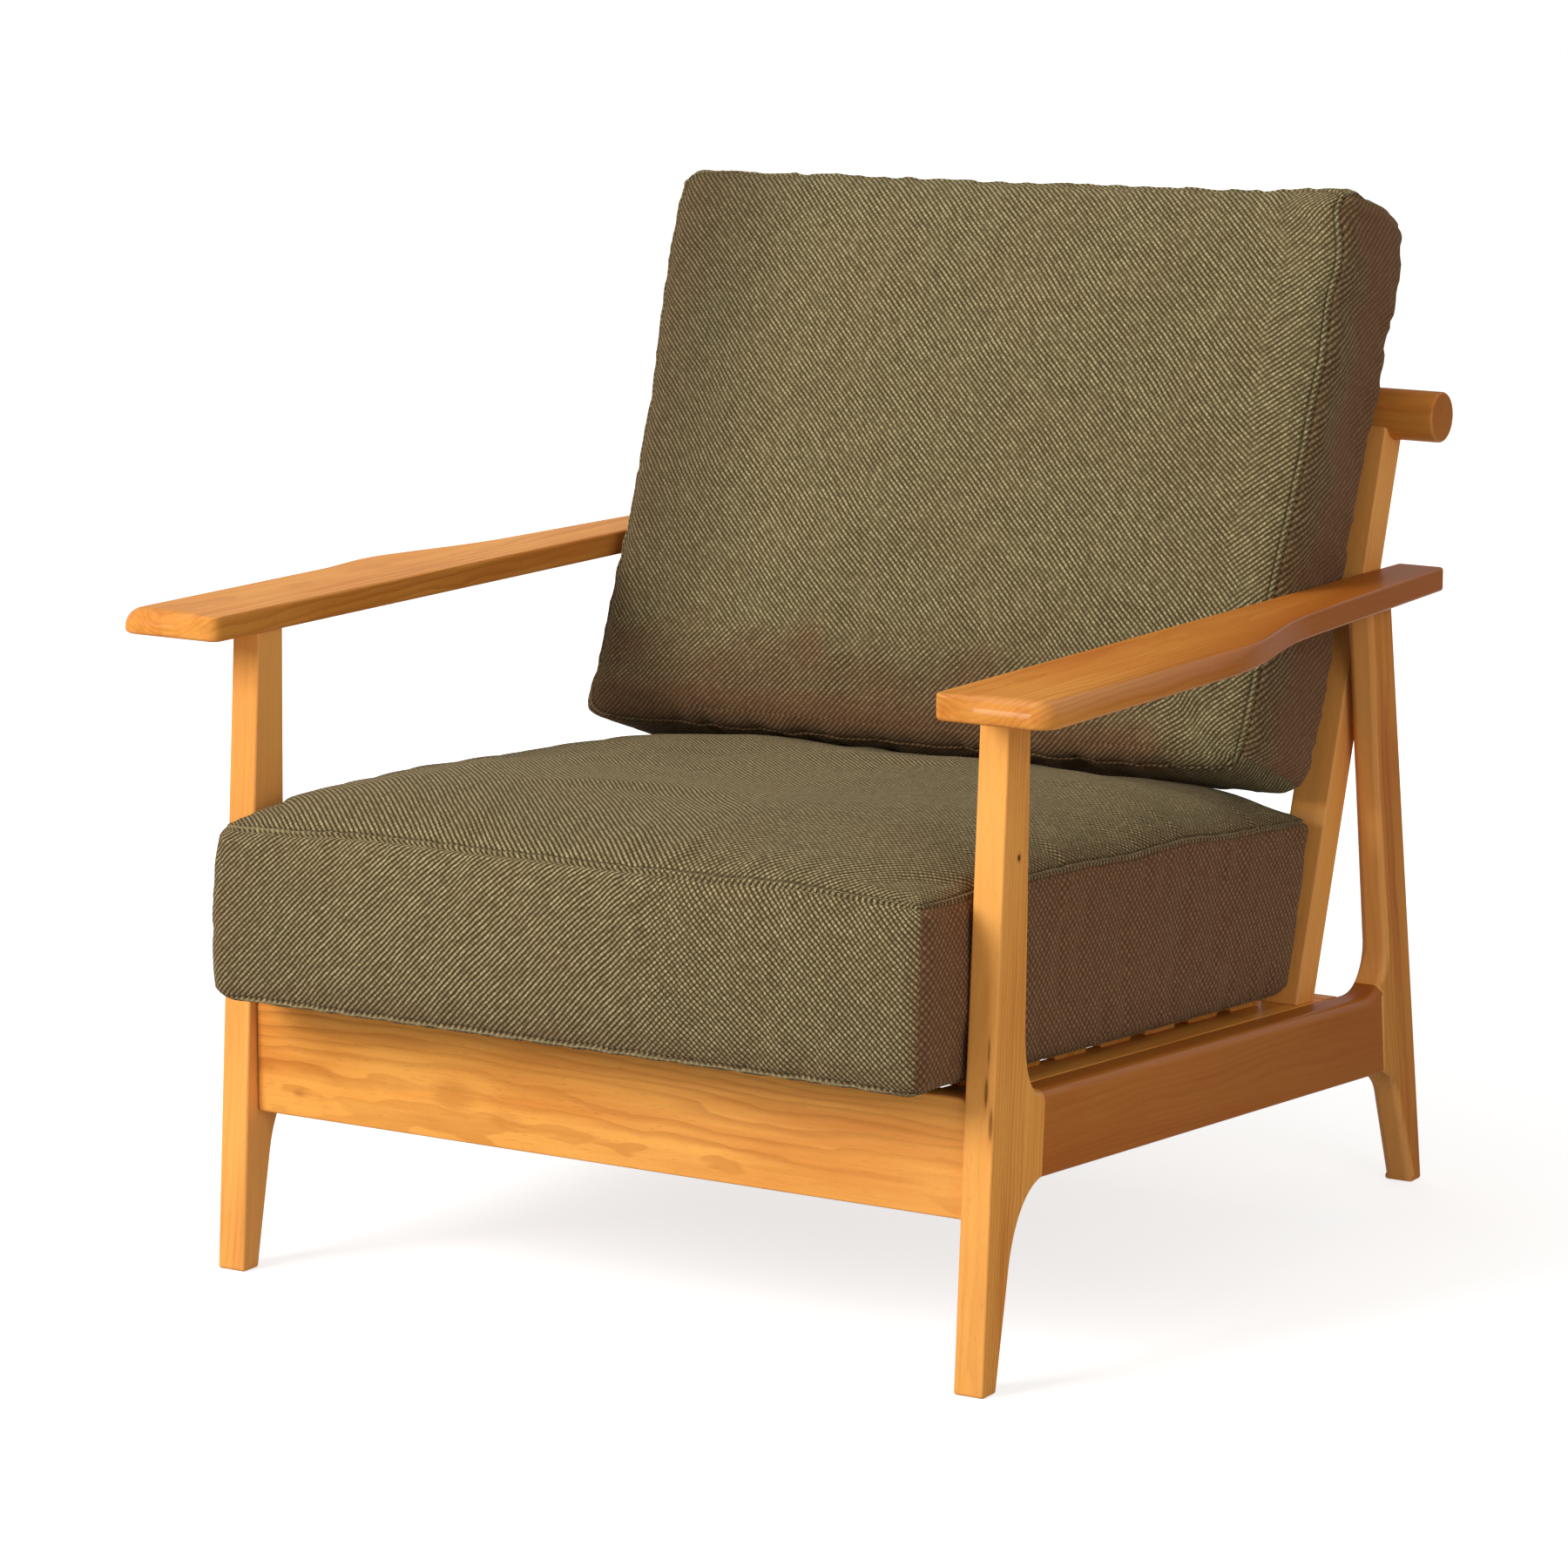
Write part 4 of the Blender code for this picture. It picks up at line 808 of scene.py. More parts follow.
class Lattice:
    """Welded grid over the surface of a unit cube, one panel for each of its six faces."""

    def __init__(self, places):
        self.places = [np.array(place) for place in places]
        self.count = [len(place) for place in self.places]
        self.panels = []
        quads = []
        for axis in range(3):
            first, second = (axis + 1) % 3, (axis + 2) % 3
            for end in (0, 1):
                i, j = np.meshgrid(np.arange(self.count[first] - 1),
                                   np.arange(self.count[second] - 1), indexing="ij")
                steps = [(0, 0), (1, 0), (1, 1), (0, 1)]
                if end == 0:
                    steps = steps[::-1]
                i = np.stack([i + di for di, _ in steps], -1).reshape(-1, 4)
                j = np.stack([j + dj for _, dj in steps], -1).reshape(-1, 4)
                key = [None, None, None]
                key[axis] = np.full(i.shape, end * (self.count[axis] - 1))
                key[first], key[second] = i, j
                quads.append((key[0] * self.count[1] + key[1]) * self.count[2] + key[2])
                self.panels.append((axis, end, first, second, i, j))
        self.keys, flat = np.unique(np.concatenate(quads), return_inverse=True)
        self.quads = flat.reshape(-1, 4)
        self.index = np.stack([self.keys // (self.count[1] * self.count[2]),
                               self.keys // self.count[2] % self.count[1],
                               self.keys % self.count[2]], 1)
        self.unit = np.stack([self.places[axis][self.index[:, axis]] for axis in range(3)], 1)

    def lengths(self, shape, axis, end, run):
        """Distance along a panel's middle line for each station, from its middle."""
        unit = np.zeros((self.count[run], 3))
        unit[:, axis] = 2 * end - 1
        unit[:, run] = self.places[run]
        points = shape(unit)
        length = np.concatenate([[0], np.cumsum(np.linalg.norm(np.diff(points, axis=0), axis=1))])
        return length - length[-1] / 2

    def between(self, values, unit):
        """Values of this lattice's points at other points of the cube's surface."""
        field = np.zeros((*self.count, values.shape[1]))
        field[self.index[:, 0], self.index[:, 1], self.index[:, 2]] = values
        low, share = [], []
        for axis in range(3):
            place = np.searchsorted(self.places[axis], unit[:, axis], side="right") - 1
            place = np.clip(place, 0, self.count[axis] - 2)
            step = self.places[axis][place + 1] - self.places[axis][place]
            low.append(place)
            share.append(np.clip((unit[:, axis] - self.places[axis][place]) / step, 0, 1))
        total = np.zeros((len(unit), values.shape[1]))
        for corner in np.ndindex(2, 2, 2):
            weight = np.ones(len(unit))
            for axis in range(3):
                weight = weight * (share[axis] if corner[axis] else 1 - share[axis])
            at = [place + step for place, step in zip(low, corner)]
            total += weight[:, None] * field[at[0], at[1], at[2]]
        return total


def normals_of(points, quads):
    """Vertex normals of a quad grid."""
    across = points[quads[:, 2]] - points[quads[:, 0]]
    along = points[quads[:, 3]] - points[quads[:, 1]]
    face = np.cross(across, along)
    total = np.zeros_like(points)
    for corner in range(4):
        np.add.at(total, quads[:, corner], face)
    return total / np.linalg.norm(total, axis=1)[:, None]


def waves(points, length, seed, count=20):
    """Smooth random field from -1 to 1 with features of about the given length."""
    chance = np.random.default_rng(seed)
    total = np.zeros(len(points))
    for _ in range(count):
        way = chance.normal(size=points.shape[1])
        way *= chance.uniform(0.6, 1.4) / np.linalg.norm(way) * 2 * math.pi / length
        total += np.sin(points @ way + chance.uniform(0, 2 * math.pi))
    return total / math.sqrt(count)


def seam_relief(distance, run, welted, clear):
    """Height of the cover near a seam: groove, raised welt, stitched groove and small puckers."""
    relief = -SEAM_GROOVE * bell(distance, 0, SEAM_GROOVE_WIDTH)
    welt = np.clip(distance / STITCH_LINE, 0, 1)
    relief += welted * WELT * np.sin(math.pi * welt) ** 2
    relief -= welted * STITCH_GROOVE * bell(distance, STITCH_LINE, STITCH_GROOVE_WIDTH)
    run = run[:, None]
    pucker = waves(run, 0.030, PUCKER_SEED) + 0.6 * waves(run, 0.013, PUCKER_SEED + 1)
    reach = PUCKER * np.exp(-distance / PUCKER_REACH) * smooth(distance / STITCH_LINE)
    return relief + reach * pucker * smooth(clear / PUCKER_CLEAR)


def seam_offset(seams, face, axis, end, along):
    """How far down the wall a seam lies from the box's edge; it comes back to it at the corners."""
    low, high = seams[face][axis]
    return np.where(end, high, low) * (1 - np.abs(along) ** SEAM_CORNER_POWER)


# Cover at the corners of a panel's faces: place in its sheet of cloth, the sheet, distance from the
# seam, place along it, whether it is the welted side, how clear of the next seam, and the wall that
# a face belongs to, 0 for none
Sewing = namedtuple("Sewing", "u v sheet distance run welted clear wall")


def face_sewing(form, end, a, b, top_a, top_b):
    """Cover of the upper or lower face, whose seam runs all round it."""
    room_x = top_a - np.abs(a) + seam_offset(form.seams, end, 0, a > 0, b / top_b)
    room_y = top_b - np.abs(b) + seam_offset(form.seams, end, 1, b > 0, a / top_a)
    beside = room_x < room_y
    return Sewing(a, -b, FACE_SHEET + end, np.where(beside, room_x, room_y), np.where(beside, b, a),
                  np.ones(a.shape), np.abs(room_x - room_y), 0)


def wall_sewing(form, axis, end, up, run, top, run_top):
    """Cover of a side wall; beyond its seams the cover of the faces is folded over the edge."""
    along = run / run_top
    above = top - up - seam_offset(form.seams, 1, axis, end, along)
    below = top + up - seam_offset(form.seams, 0, axis, end, along)
    upper = np.abs(above) < np.abs(below)
    signed = np.where(upper, above, below)
    folded = signed.mean(1) < 0
    outward = 2 * end - 1
    reach = form.half[axis] * FOLD_SHARE + np.where(upper, top - up, top + up)
    if axis == 1:
        (u, v), (u_over, v_over) = (-run * outward, up), (run, -outward * reach)
    else:
        (u, v), (u_over, v_over) = (-run * SIDE_WEAVE, up * SIDE_WEAVE), (outward * reach, -run)
    rows = folded[:, None]
    return Sewing(np.where(rows, u_over, u), np.where(rows, v_over, v),
                  np.where(rows, FACE_SHEET + upper, 3.0 * axis + end), np.abs(signed), run,
                  (signed < 0).astype(float), np.full(up.shape, 1.0), np.where(folded, 0, 1 + axis))


def sewn(form, lattice):
    """Weave, seam places, wall of each face, relief of the seams, and places in each panel."""
    weave = np.zeros((len(lattice.quads), 4, 2))
    edge = np.zeros_like(weave)
    walls = np.zeros(len(lattice.quads), int)
    relief = np.zeros(len(lattice.unit))
    shares = []
    start = 0
    for axis, end, first, second, i, j in lattice.panels:
        along_i, along_j = [lattice.lengths(form.shape, axis, end, run) for run in (first, second)]
        a, b, top_a, top_b = along_i[i], along_j[j], along_i[-1], along_j[-1]
        if axis == 0:
            sewing = wall_sewing(form, axis, end, b, a, top_b, top_a)
        elif axis == 1:
            sewing = wall_sewing(form, axis, end, a, b, top_a, top_b)
        else:
            sewing = face_sewing(form, end, a, b, top_a, top_b)
        rows = slice(start, start + len(i))
        start += len(i)
        quads = lattice.quads[rows]
        shares.append((quads, a / top_a, b / top_b))
        u, v, sheet, distance, run, welted, clear, walls[rows] = sewing
        weave[rows] = np.stack([u + SHEET_STEP[0] * sheet, v + SHEET_STEP[1] * sheet], -1)
        edge[rows] = np.stack([np.where(welted > 0, distance, distance + 1), run], -1)
        flat = [part.ravel() for part in (distance, run, welted, clear)]
        relief[quads.ravel()] = seam_relief(*flat)
    return weave, edge, walls, relief, shares


def simulated(name, form):
    """Moves of a coarse copy of the cover, blown up by its filling while its seams hold it."""
    coarse = Lattice([stations(size, rim, COARSE_CELL, COARSE_RIM_CELLS)
                      for size, rim in zip(form.half, form.rims)])
    start = form.shape(coarse.unit)
    mesh = bpy.data.meshes.new(name)
    mesh.from_pydata(start.tolist(), [], coarse.quads.tolist())
    cover = add_object(name, mesh)
    at_end = (coarse.index == 0) | (coarse.index == np.array(coarse.count) - 1)
    seams = at_end[:, 2] & (at_end[:, 0] | at_end[:, 1])
    held = cover.vertex_groups.new(name="held")
    held.add(np.flatnonzero(seams).tolist(), 1.0, "REPLACE")
    cloth = cover.modifiers.new("cover", "CLOTH")
    cloth.settings.vertex_group_mass = "held"
    cloth.settings.quality = 6
    cloth.settings.mass = 0.4
    cloth.settings.tension_stiffness = 25
    cloth.settings.compression_stiffness = 12
    cloth.settings.shear_stiffness = 6
    cloth.settings.bending_stiffness = 0.35
    cloth.settings.shrink_min = -0.022
    cloth.settings.use_pressure = True
    cloth.settings.uniform_pressure_force = 4
    cloth.settings.effector_weights.gravity = 0
    cloth.point_cache.frame_end = CLOTH_FRAMES
    for number in range(1, CLOTH_FRAMES + 1):
        bpy.context.scene.frame_set(number)
    blown = cover.evaluated_get(bpy.context.evaluated_depsgraph_get())
    move = read_vectors(blown.data.vertices, "co") - start
    bpy.context.scene.frame_set(1)
    bpy.data.objects.remove(cover)
    length = np.linalg.norm(move, axis=1)[:, None]
    move *= np.minimum(1, CLOTH_CAP / np.maximum(length, 1e-9))
    return coarse, move


def wrinkles_of(blown, shares):
    """Swelling of the simulated cover less its even bulge, which the shape has already."""
    wrinkles = np.zeros(len(blown))
    for quads, share_a, share_b in shares:
        vertices, first = np.unique(quads.ravel(), return_index=True)
        a, b = np.abs(share_a.ravel()[first]), np.abs(share_b.ravel()[first])
        domes = np.stack([(1 - a ** p) * (1 - b ** q) for p in DOME_POWERS for q in DOME_POWERS], 1)
        weights = np.linalg.lstsq(domes, blown[vertices], rcond=None)[0]
        wrinkles[vertices] = blown[vertices] - domes @ weights
    return np.clip(wrinkles * WRINKLE_GAIN, -WRINKLE_CAP, WRINKLE_CAP)


def pressed_clear(points, neighbours):
    """Moves points that lie inside a neighbour out to its surface, as a soft filling gives way."""
    for piece in neighbours:
        faces = [tuple(face.vertices) for face in piece.data.polygons]
        tree = BVHTree.FromPolygons([vertex.co.copy() for vertex in piece.data.vertices], faces)
        for index, point in enumerate(points):
            surface, normal, _, distance = tree.find_nearest(Vector(point), PRESS_REACH)
            if surface is None:
                continue
            signed = distance if (Vector(point) - surface).dot(normal) > 0 else -distance
            if signed < PRESS_ROOM:
                points[index] = surface + normal * PRESS_ROOM
    return points


def cushion(name, node, body, form, neighbours=()):
    """Cushion with a sewn cover in its CAD node's place."""
    lattice = Lattice([stations(size, rim, cell, RIM_CELLS)
                       for size, rim, cell in zip(form.half, form.rims, form.cells)])
    points = form.shape(lattice.unit)
    normals = normals_of(points, lattice.quads)
    weave, edge, walls, relief, shares = sewn(form, lattice)
    coarse, move = simulated(name + "_cover", form)
    relief += wrinkles_of((coarse.between(move, lattice.unit) * normals).sum(1), shares)
    # the face that rests on the frame doesn't swell into it
    relief = np.where(lattice.unit[:, 2] < RESTING_FACE, np.minimum(relief, 0), relief)
    points = form.mould(lattice.unit, points + normals * relief[:, None])
    looks = cover_looks(points[lattice.quads], walls, form)

    # Same place as the CAD solid
    cells = (CAD_CELLS, CAD_CELLS, CAD_WALL_CELLS)
    places = [cad_stations(*sizes) for sizes in zip(form.half, form.rims, cells)]
    turn = np.array(Matrix.Rotation(form.lean, 3, "X")).T
    offset = np.array(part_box(node)[0]) - (form.shape(Lattice(places).unit) @ turn).min(0)
    points = pressed_clear(points @ turn + offset, neighbours)

    mesh = bpy.data.meshes.new(name)
    mesh.from_pydata(points.tolist(), [], lattice.quads.tolist())
    mesh.shade_smooth()
    mesh.uv_layers.new(name="weave").data.foreach_set("uv", weave.ravel())
    mesh.uv_layers.new(name="edge").data.foreach_set("uv", edge.ravel())
    for label, values in looks.items():
        add_values(mesh, label, values, "CORNER")
    mesh.materials.append(olive_fabric)
    piece = add_object(name, mesh)
    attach(piece, body)
    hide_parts(node)
    return piece


def near(x, y, centre, spread):
    """Bell-shaped share round a place on a face."""
    return bell(x, centre[0], spread[0]) * bell(y, centre[1], spread[1])


def seat_mould(unit, points):
    """Seat cushion's uneven filling: waves, a dent, a lower left side, a higher rear right one."""
    x, y, z = points.T
    lift = 0.0012 * waves(points, 0.16, 21) + 0.0005 * waves(points, 0.06, 22)
    lift -= 0.0035 * near(x, y, (0.02, 0.10), (0.09, 0.12))
    lift -= 0.0045 * rise(x, -0.16, -0.28) * bell(y, 0.02, 0.20)
    lift += 0.0050 * rise(x, 0.12, 0.24) * rise(y, 0.02, 0.16)
    return np.stack([x, y, z + lift * smooth((unit[:, 2] + 1) / 2)], 1)


# Tips of the back cushion: how far they move x and y, place and spread on its face, share that is
# left of the move at its rear
Tip = namedtuple("Tip", "x y centre spread rear")
BACK_TIPS = [Tip(0, -0.0100, (-0.315, 0.000), (0.050, 0.050), 0.35),
             Tip(-0.0060, 0, (-0.318, 0.010), (0.030, 0.022), 0.25),
             Tip(-0.0075, 0, (-0.322, 0.003), (0.026, 0.013), 0.25),
             Tip(0, 0.0060, (0.318, 0.475), (0.070, 0.035), 0.0)]
BACK_TURN = 0.0150


def back_mould(unit, points):
    """Slight turn of the loose back cushion, its hanging and its raised corner, and its folds."""
    x, y, z = points.T
    front = smooth((unit[:, 2] + 1) / 2)
    move_x = -BACK_TURN * (y - BACK_LENGTH / 2)
    move_y = BACK_TURN * x
    move_z = (0.0014 * waves(points, 0.15, 31) + 0.0006 * waves(points, 0.055, 32)) * front
    for tip in BACK_TIPS:
        share = near(x, y, tip.centre, tip.spread) * (tip.rear + (1 - tip.rear) * front)
        move_x += tip.x * share
        move_y += tip.y * share
    # left wall drawn in along its middle
    move_x += 0.0060 * rise(x, -0.20, -0.28) * bell(y, 0.22, 0.13)
    # puffed wall behind the raised corner
    move_y += 0.0085 * near(x, y, (0.320, 0.475), (0.06, 0.04)) * bell(z, -0.075, 0.035)
    # right front edge fuller above the armrest, drawn in at the top
    full = 0.0075 * bell(y, 0.28, 0.12) - 0.0070 * rise(y, 0.40, 0.45) * rise(y, 0.467, 0.447)
    move_x += full * rise(x, 0.24, 0.30) * front
    # fold that runs up from the lower right corner, with a ridge beside it
    across = (x - 0.235) * 0.80 + (y - 0.045) * 0.60
    along = (y - 0.045) * 0.80 - (x - 0.235) * 0.60
    fold = 0.0050 * bell(across, 0.024, 0.015) - 0.0095 * bell(across, 0, 0.013)
    move_z += fold * bell(along, 0, 0.050) * front
    # right wall bulges and dips down from the upper corner
    bulge = 0.5 * np.sin(y / 0.021) + 0.5 * np.sin(y / 0.013 + 1.0)
    move_x += 0.0022 * bulge * rise(x, 0.29, 0.31) * rise(y, 0.25, 0.35)
    return np.stack([x + move_x, y + move_y, z + move_z], 1)


def seat_look(x, y, z, rough, wall):
    """Brownness, share of the other diagonal and painted shade of the seat cushion's cover; the
    brownness of walls and edges is painted shade too.
    """
    # painted shade as brownness: low front edge, left edge, near the right seam and all of the side
    # walls; a little brown everywhere
    low_edge = 0.30 * rise(z, 0.040, 0)
    left_edge = 0.25 * rise(x, -0.27, -0.31)
    right_edge = 0.38 * rise(x - 0.006 * rough, 0.288, 0.312) * rise(y, -0.20, -0.04)
    tone = np.where(wall == 1, 1.0, largest(low_edge, left_edge, right_edge, 0.07))
    cross = np.where(wall == 1, 0.5, 0.75 * rise(x, 0.04, 0.16))
    # painted shade: some over the whole cover, more on its top, the left side and the low front
    painted_shade = largest(0.42 * rise(x, -0.10, -0.30), 0.50 * rise(z, 0.045, 0),
                  0.12 + 0.27 * rise(z, 0.135, 0.155))
    return tone, cross, painted_shade


def back_look(x, y, z, rough, wall):
    """The same three of the back cushion's cover."""
    # painted shade as brownness: the low band and hem that curve under, the left edge, and the
    # walls, browner further back and higher up
    low = rise(y - 0.010 * rough, 0.088, 0.033) * rise(x, 0.23, 0.16)
    hem = rise(y, 0.040, 0.010) * rise(x, 0.26, 0.20)
    deep = smooth((-z - 0.015) / 0.055 + 0.5 * rise(y, 0.40, 0.46) + 0.12 * rough)
    tone = largest(low * (0.42 + 0.12 * rough), 0.34 * rise(x, -0.24, -0.31), 0.80 * hem)
    tone = np.where(wall == 1, 0.42 + 0.58 * deep, tone)
    beside = rise(x + 0.05 * (y - 0.25) + 0.004 * rough, 0.262, 0.272)
    below = rise(y - 0.006 * rough, 0.078, 0.062)
    cross = np.where(wall == 0, largest(beside, below), 0.0)
    # painted shade: the low band and left part of the front, and the walls
    painted_shade = largest(low * (0.50 - 0.20 * hem), 0.95 * rise(x, -0.14, -0.27))
    painted_shade = np.where(wall == 1, 0.25, painted_shade)
    return tone, cross, painted_shade


def largest(*values):
    """Largest of some arrays and numbers, point by point."""
    return functools.reduce(np.maximum, values)


def cover_looks(points, walls, form):
    """What the fabric's material reads at faces' corners, 0 to 1."""
    x, y, z = points[..., 0], points[..., 1], points[..., 2]
    rough = waves(points.reshape(-1, 3)[:, :2], 0.07, 51).reshape(x.shape)
    tone, cross, painted_shade = form.look(x, y, z, rough, walls[:, None])
    looks = {"tone": tone, "cross": cross, "painted_shade": painted_shade, "crisp": np.full(x.shape, form.crisp)}
    return {label: np.clip(values, 0, 1) for label, values in looks.items()}


# Seams' distances from the box's edges, as [face][axis] = (lower end, upper end)
SEAT_SEAMS = {1: {0: (0.004, 0.003), 1: (0.004, 0.004)}, 0: {0: (0.0, 0.0), 1: (0.006, 0.0)}}
BACK_SEAMS = {1: {0: (0.006, 0.0), 1: (0.031, 0.012)}, 0: {0: (0.0, 0.0), 1: (0.0, 0.0)}}

Form = namedtuple("Form", "half rims cells shape lean seams mould look crisp")
SEAT_FORM = Form(half=seat_half(), rims=(SEAT_CORNER, SEAT_CORNER, SEAT_EDGE),
                 cells=(CELL, CELL, CELL), shape=seat_shape, lean=-DECK_FALL, seams=SEAT_SEAMS,
                 mould=seat_mould, look=seat_look, crisp=1.0)
BACK_FORM = Form(half=back_half(), rims=(BACK_CORNER, BACK_CORNER, BACK_EDGE),
                 cells=(CELL, CELL, FINE_CELL), shape=back_shape, lean=math.pi / 2 - BACK_RECLINE,
                 seams=BACK_SEAMS, mould=back_mould, look=back_look, crisp=0.0)


# Materials

class Wire:
    """Value in a node tree, with which sums can be written."""

    def __init__(self, graph, socket):
        self.graph = graph
        self.socket = socket

    def __add__(self, other):
        return self.graph.math("ADD", self, other)

    def __sub__(self, other):
        return self.graph.math("SUBTRACT", self, other)

    def __rsub__(self, other):
        return self.graph.math("SUBTRACT", other, self)

    def __mul__(self, other):
        return self.graph.math("MULTIPLY", self, other)

    def __truediv__(self, other):
        return self.graph.math("DIVIDE", self, other)


class Graph:
    """Short way to write the nodes of a material or world."""

    def __init__(self, owner):
        owner.use_nodes = True
        self.nodes = owner.node_tree.nodes
        self.links = owner.node_tree.links

    def put(self, socket, value):
        if isinstance(value, Wire):
            self.links.new(value.socket, socket)
        else:
            socket.default_value = value

    def node(self, kind, inputs, output=0, **settings):
        """Adds a node with its settings and its inputs' values; gives one of its outputs."""
        node = self.nodes.new(kind)
        for name, value in settings.items():
            setattr(node, name, value)
        for key, value in inputs.items():
            self.put(node.inputs[key], value)
        return Wire(self, node.outputs[output]) if node.outputs else None

    def surface(self, inputs):
        """Sets the inputs of the material's shader."""
        for key, value in inputs.items():
            self.put(self.nodes["Principled BSDF"].inputs[key], value)

    def math(self, operation, *values, clamp=False):
        inputs = dict(enumerate(values))
        return self.node("ShaderNodeMath", inputs, operation=operation, use_clamp=clamp)

    def length(self, vector):
        return self.node("ShaderNodeVectorMath", {0: vector}, "Value", operation="LENGTH")

    def vector(self, operation, first, second):
        return self.node("ShaderNodeVectorMath", {0: first, 1: second}, operation=operation)

    def split(self, vector):
        parts = self.node("ShaderNodeSeparateXYZ", {0: vector}).socket.node
        return [Wire(self, socket) for socket in parts.outputs]

    def join(self, x, y, z=0.0):
        return self.node("ShaderNodeCombineXYZ", {0: x, 1: y, 2: z})

    def span(self, value, low, high, new_low=0.0, new_high=1.0):
        """Eases a value's way from low to high into one from new_low to new_high."""
        inputs = dict(enumerate((value, low, high, new_low, new_high)))
        return self.node("ShaderNodeMapRange", inputs, interpolation_type="SMOOTHSTEP")

    def noise(self, vector, scale, w, detail=2.0, roughness=0.5, output="Fac"):
        """Noise over a vector scaled by one number or three; w picks the pattern."""
        scale = scale if isinstance(scale, tuple) else (scale, scale, scale)
        place = self.vector("MULTIPLY", vector, scale)
        inputs = {"Vector": place, "W": w, "Scale": 1.0, "Detail": detail, "Roughness": roughness}
        return self.node("ShaderNodeTexNoise", inputs, output, noise_dimensions="4D")

    def mix(self, share, first, second):
        return self.node("ShaderNodeMix", {0: share, 6: first, 7: second}, 2, data_type="RGBA")

    def attribute(self, name, output="Fac"):
        return self.node("ShaderNodeAttribute", {}, output, attribute_name=name)

    def uv(self, name):
        return self.node("ShaderNodeUVMap", {}, uv_map=name)

    def place(self):
        return self.node("ShaderNodeTexCoord", {}, "Object")

    def bump(self, height, distance):
        return self.node("ShaderNodeBump", {"Distance": distance, "Height": height})


WOOD_DARK = (0.36, 0.100, 0.013, 1)
WOOD_BASE = (0.78, 0.312, 0.056, 1)
WOOD_LIGHT = (0.88, 0.415, 0.092, 1)
WOOD_PALE = (1.00, 0.500, 0.155, 1)
WOOD_RED = (0.56, 0.150, 0.026, 1)
WOOD_FLECK = (0.27, 0.075, 0.012, 1)
WOOD_KNOT = (0.10, 0.028, 0.010, 1)
RINGS_PER_METRE = 200.0
WOOD_GLOSS = 0.03
EDGE_GLOSS = 0.28

# Knots and stains: place in the chair's frame, size along each axis, strength of halo and core
KNOTS = [((0.342, -0.2992, 0.3914), (0.0030, 0.0024, 0.0028), 0.45, 1.0),
         ((0.3355, -0.3300, 0.2546), (0.0011, 0.0050, 0.0120), 0.22, 0.5),
         ((0.3345, -0.3321, 0.2242), (0.0016, 0.0060, 0.0120), 0.32, 0.7),
         ((0.3392, -0.3336, 0.2010), (0.0017, 0.0060, 0.0150), 0.27, 0.6),
         ((0.3667, 0.3444, 0.5115), (0.0060, 0.0040, 0.0060), 0.36, 0.8),
         ((0.3671, 0.2188, 0.5113), (0.0016, 0.0160, 0.0060), 0.22, 0.5),
         ((-0.1331, -0.3258, 0.1600), (0.0120, 0.0060, 0.0080), 0.30, 0.0),
         ((-0.0850, -0.3258, 0.1480), (0.0090, 0.0060, 0.0050), 0.20, 0.0),
         ((-0.2133, -0.3258, 0.1969), (0.0450, 0.0060, 0.0045), 0.30, 0.0),
         ((-0.2773, -0.3258, 0.1441), (0.0040, 0.0060, 0.0026), 0.30, 0.12)]


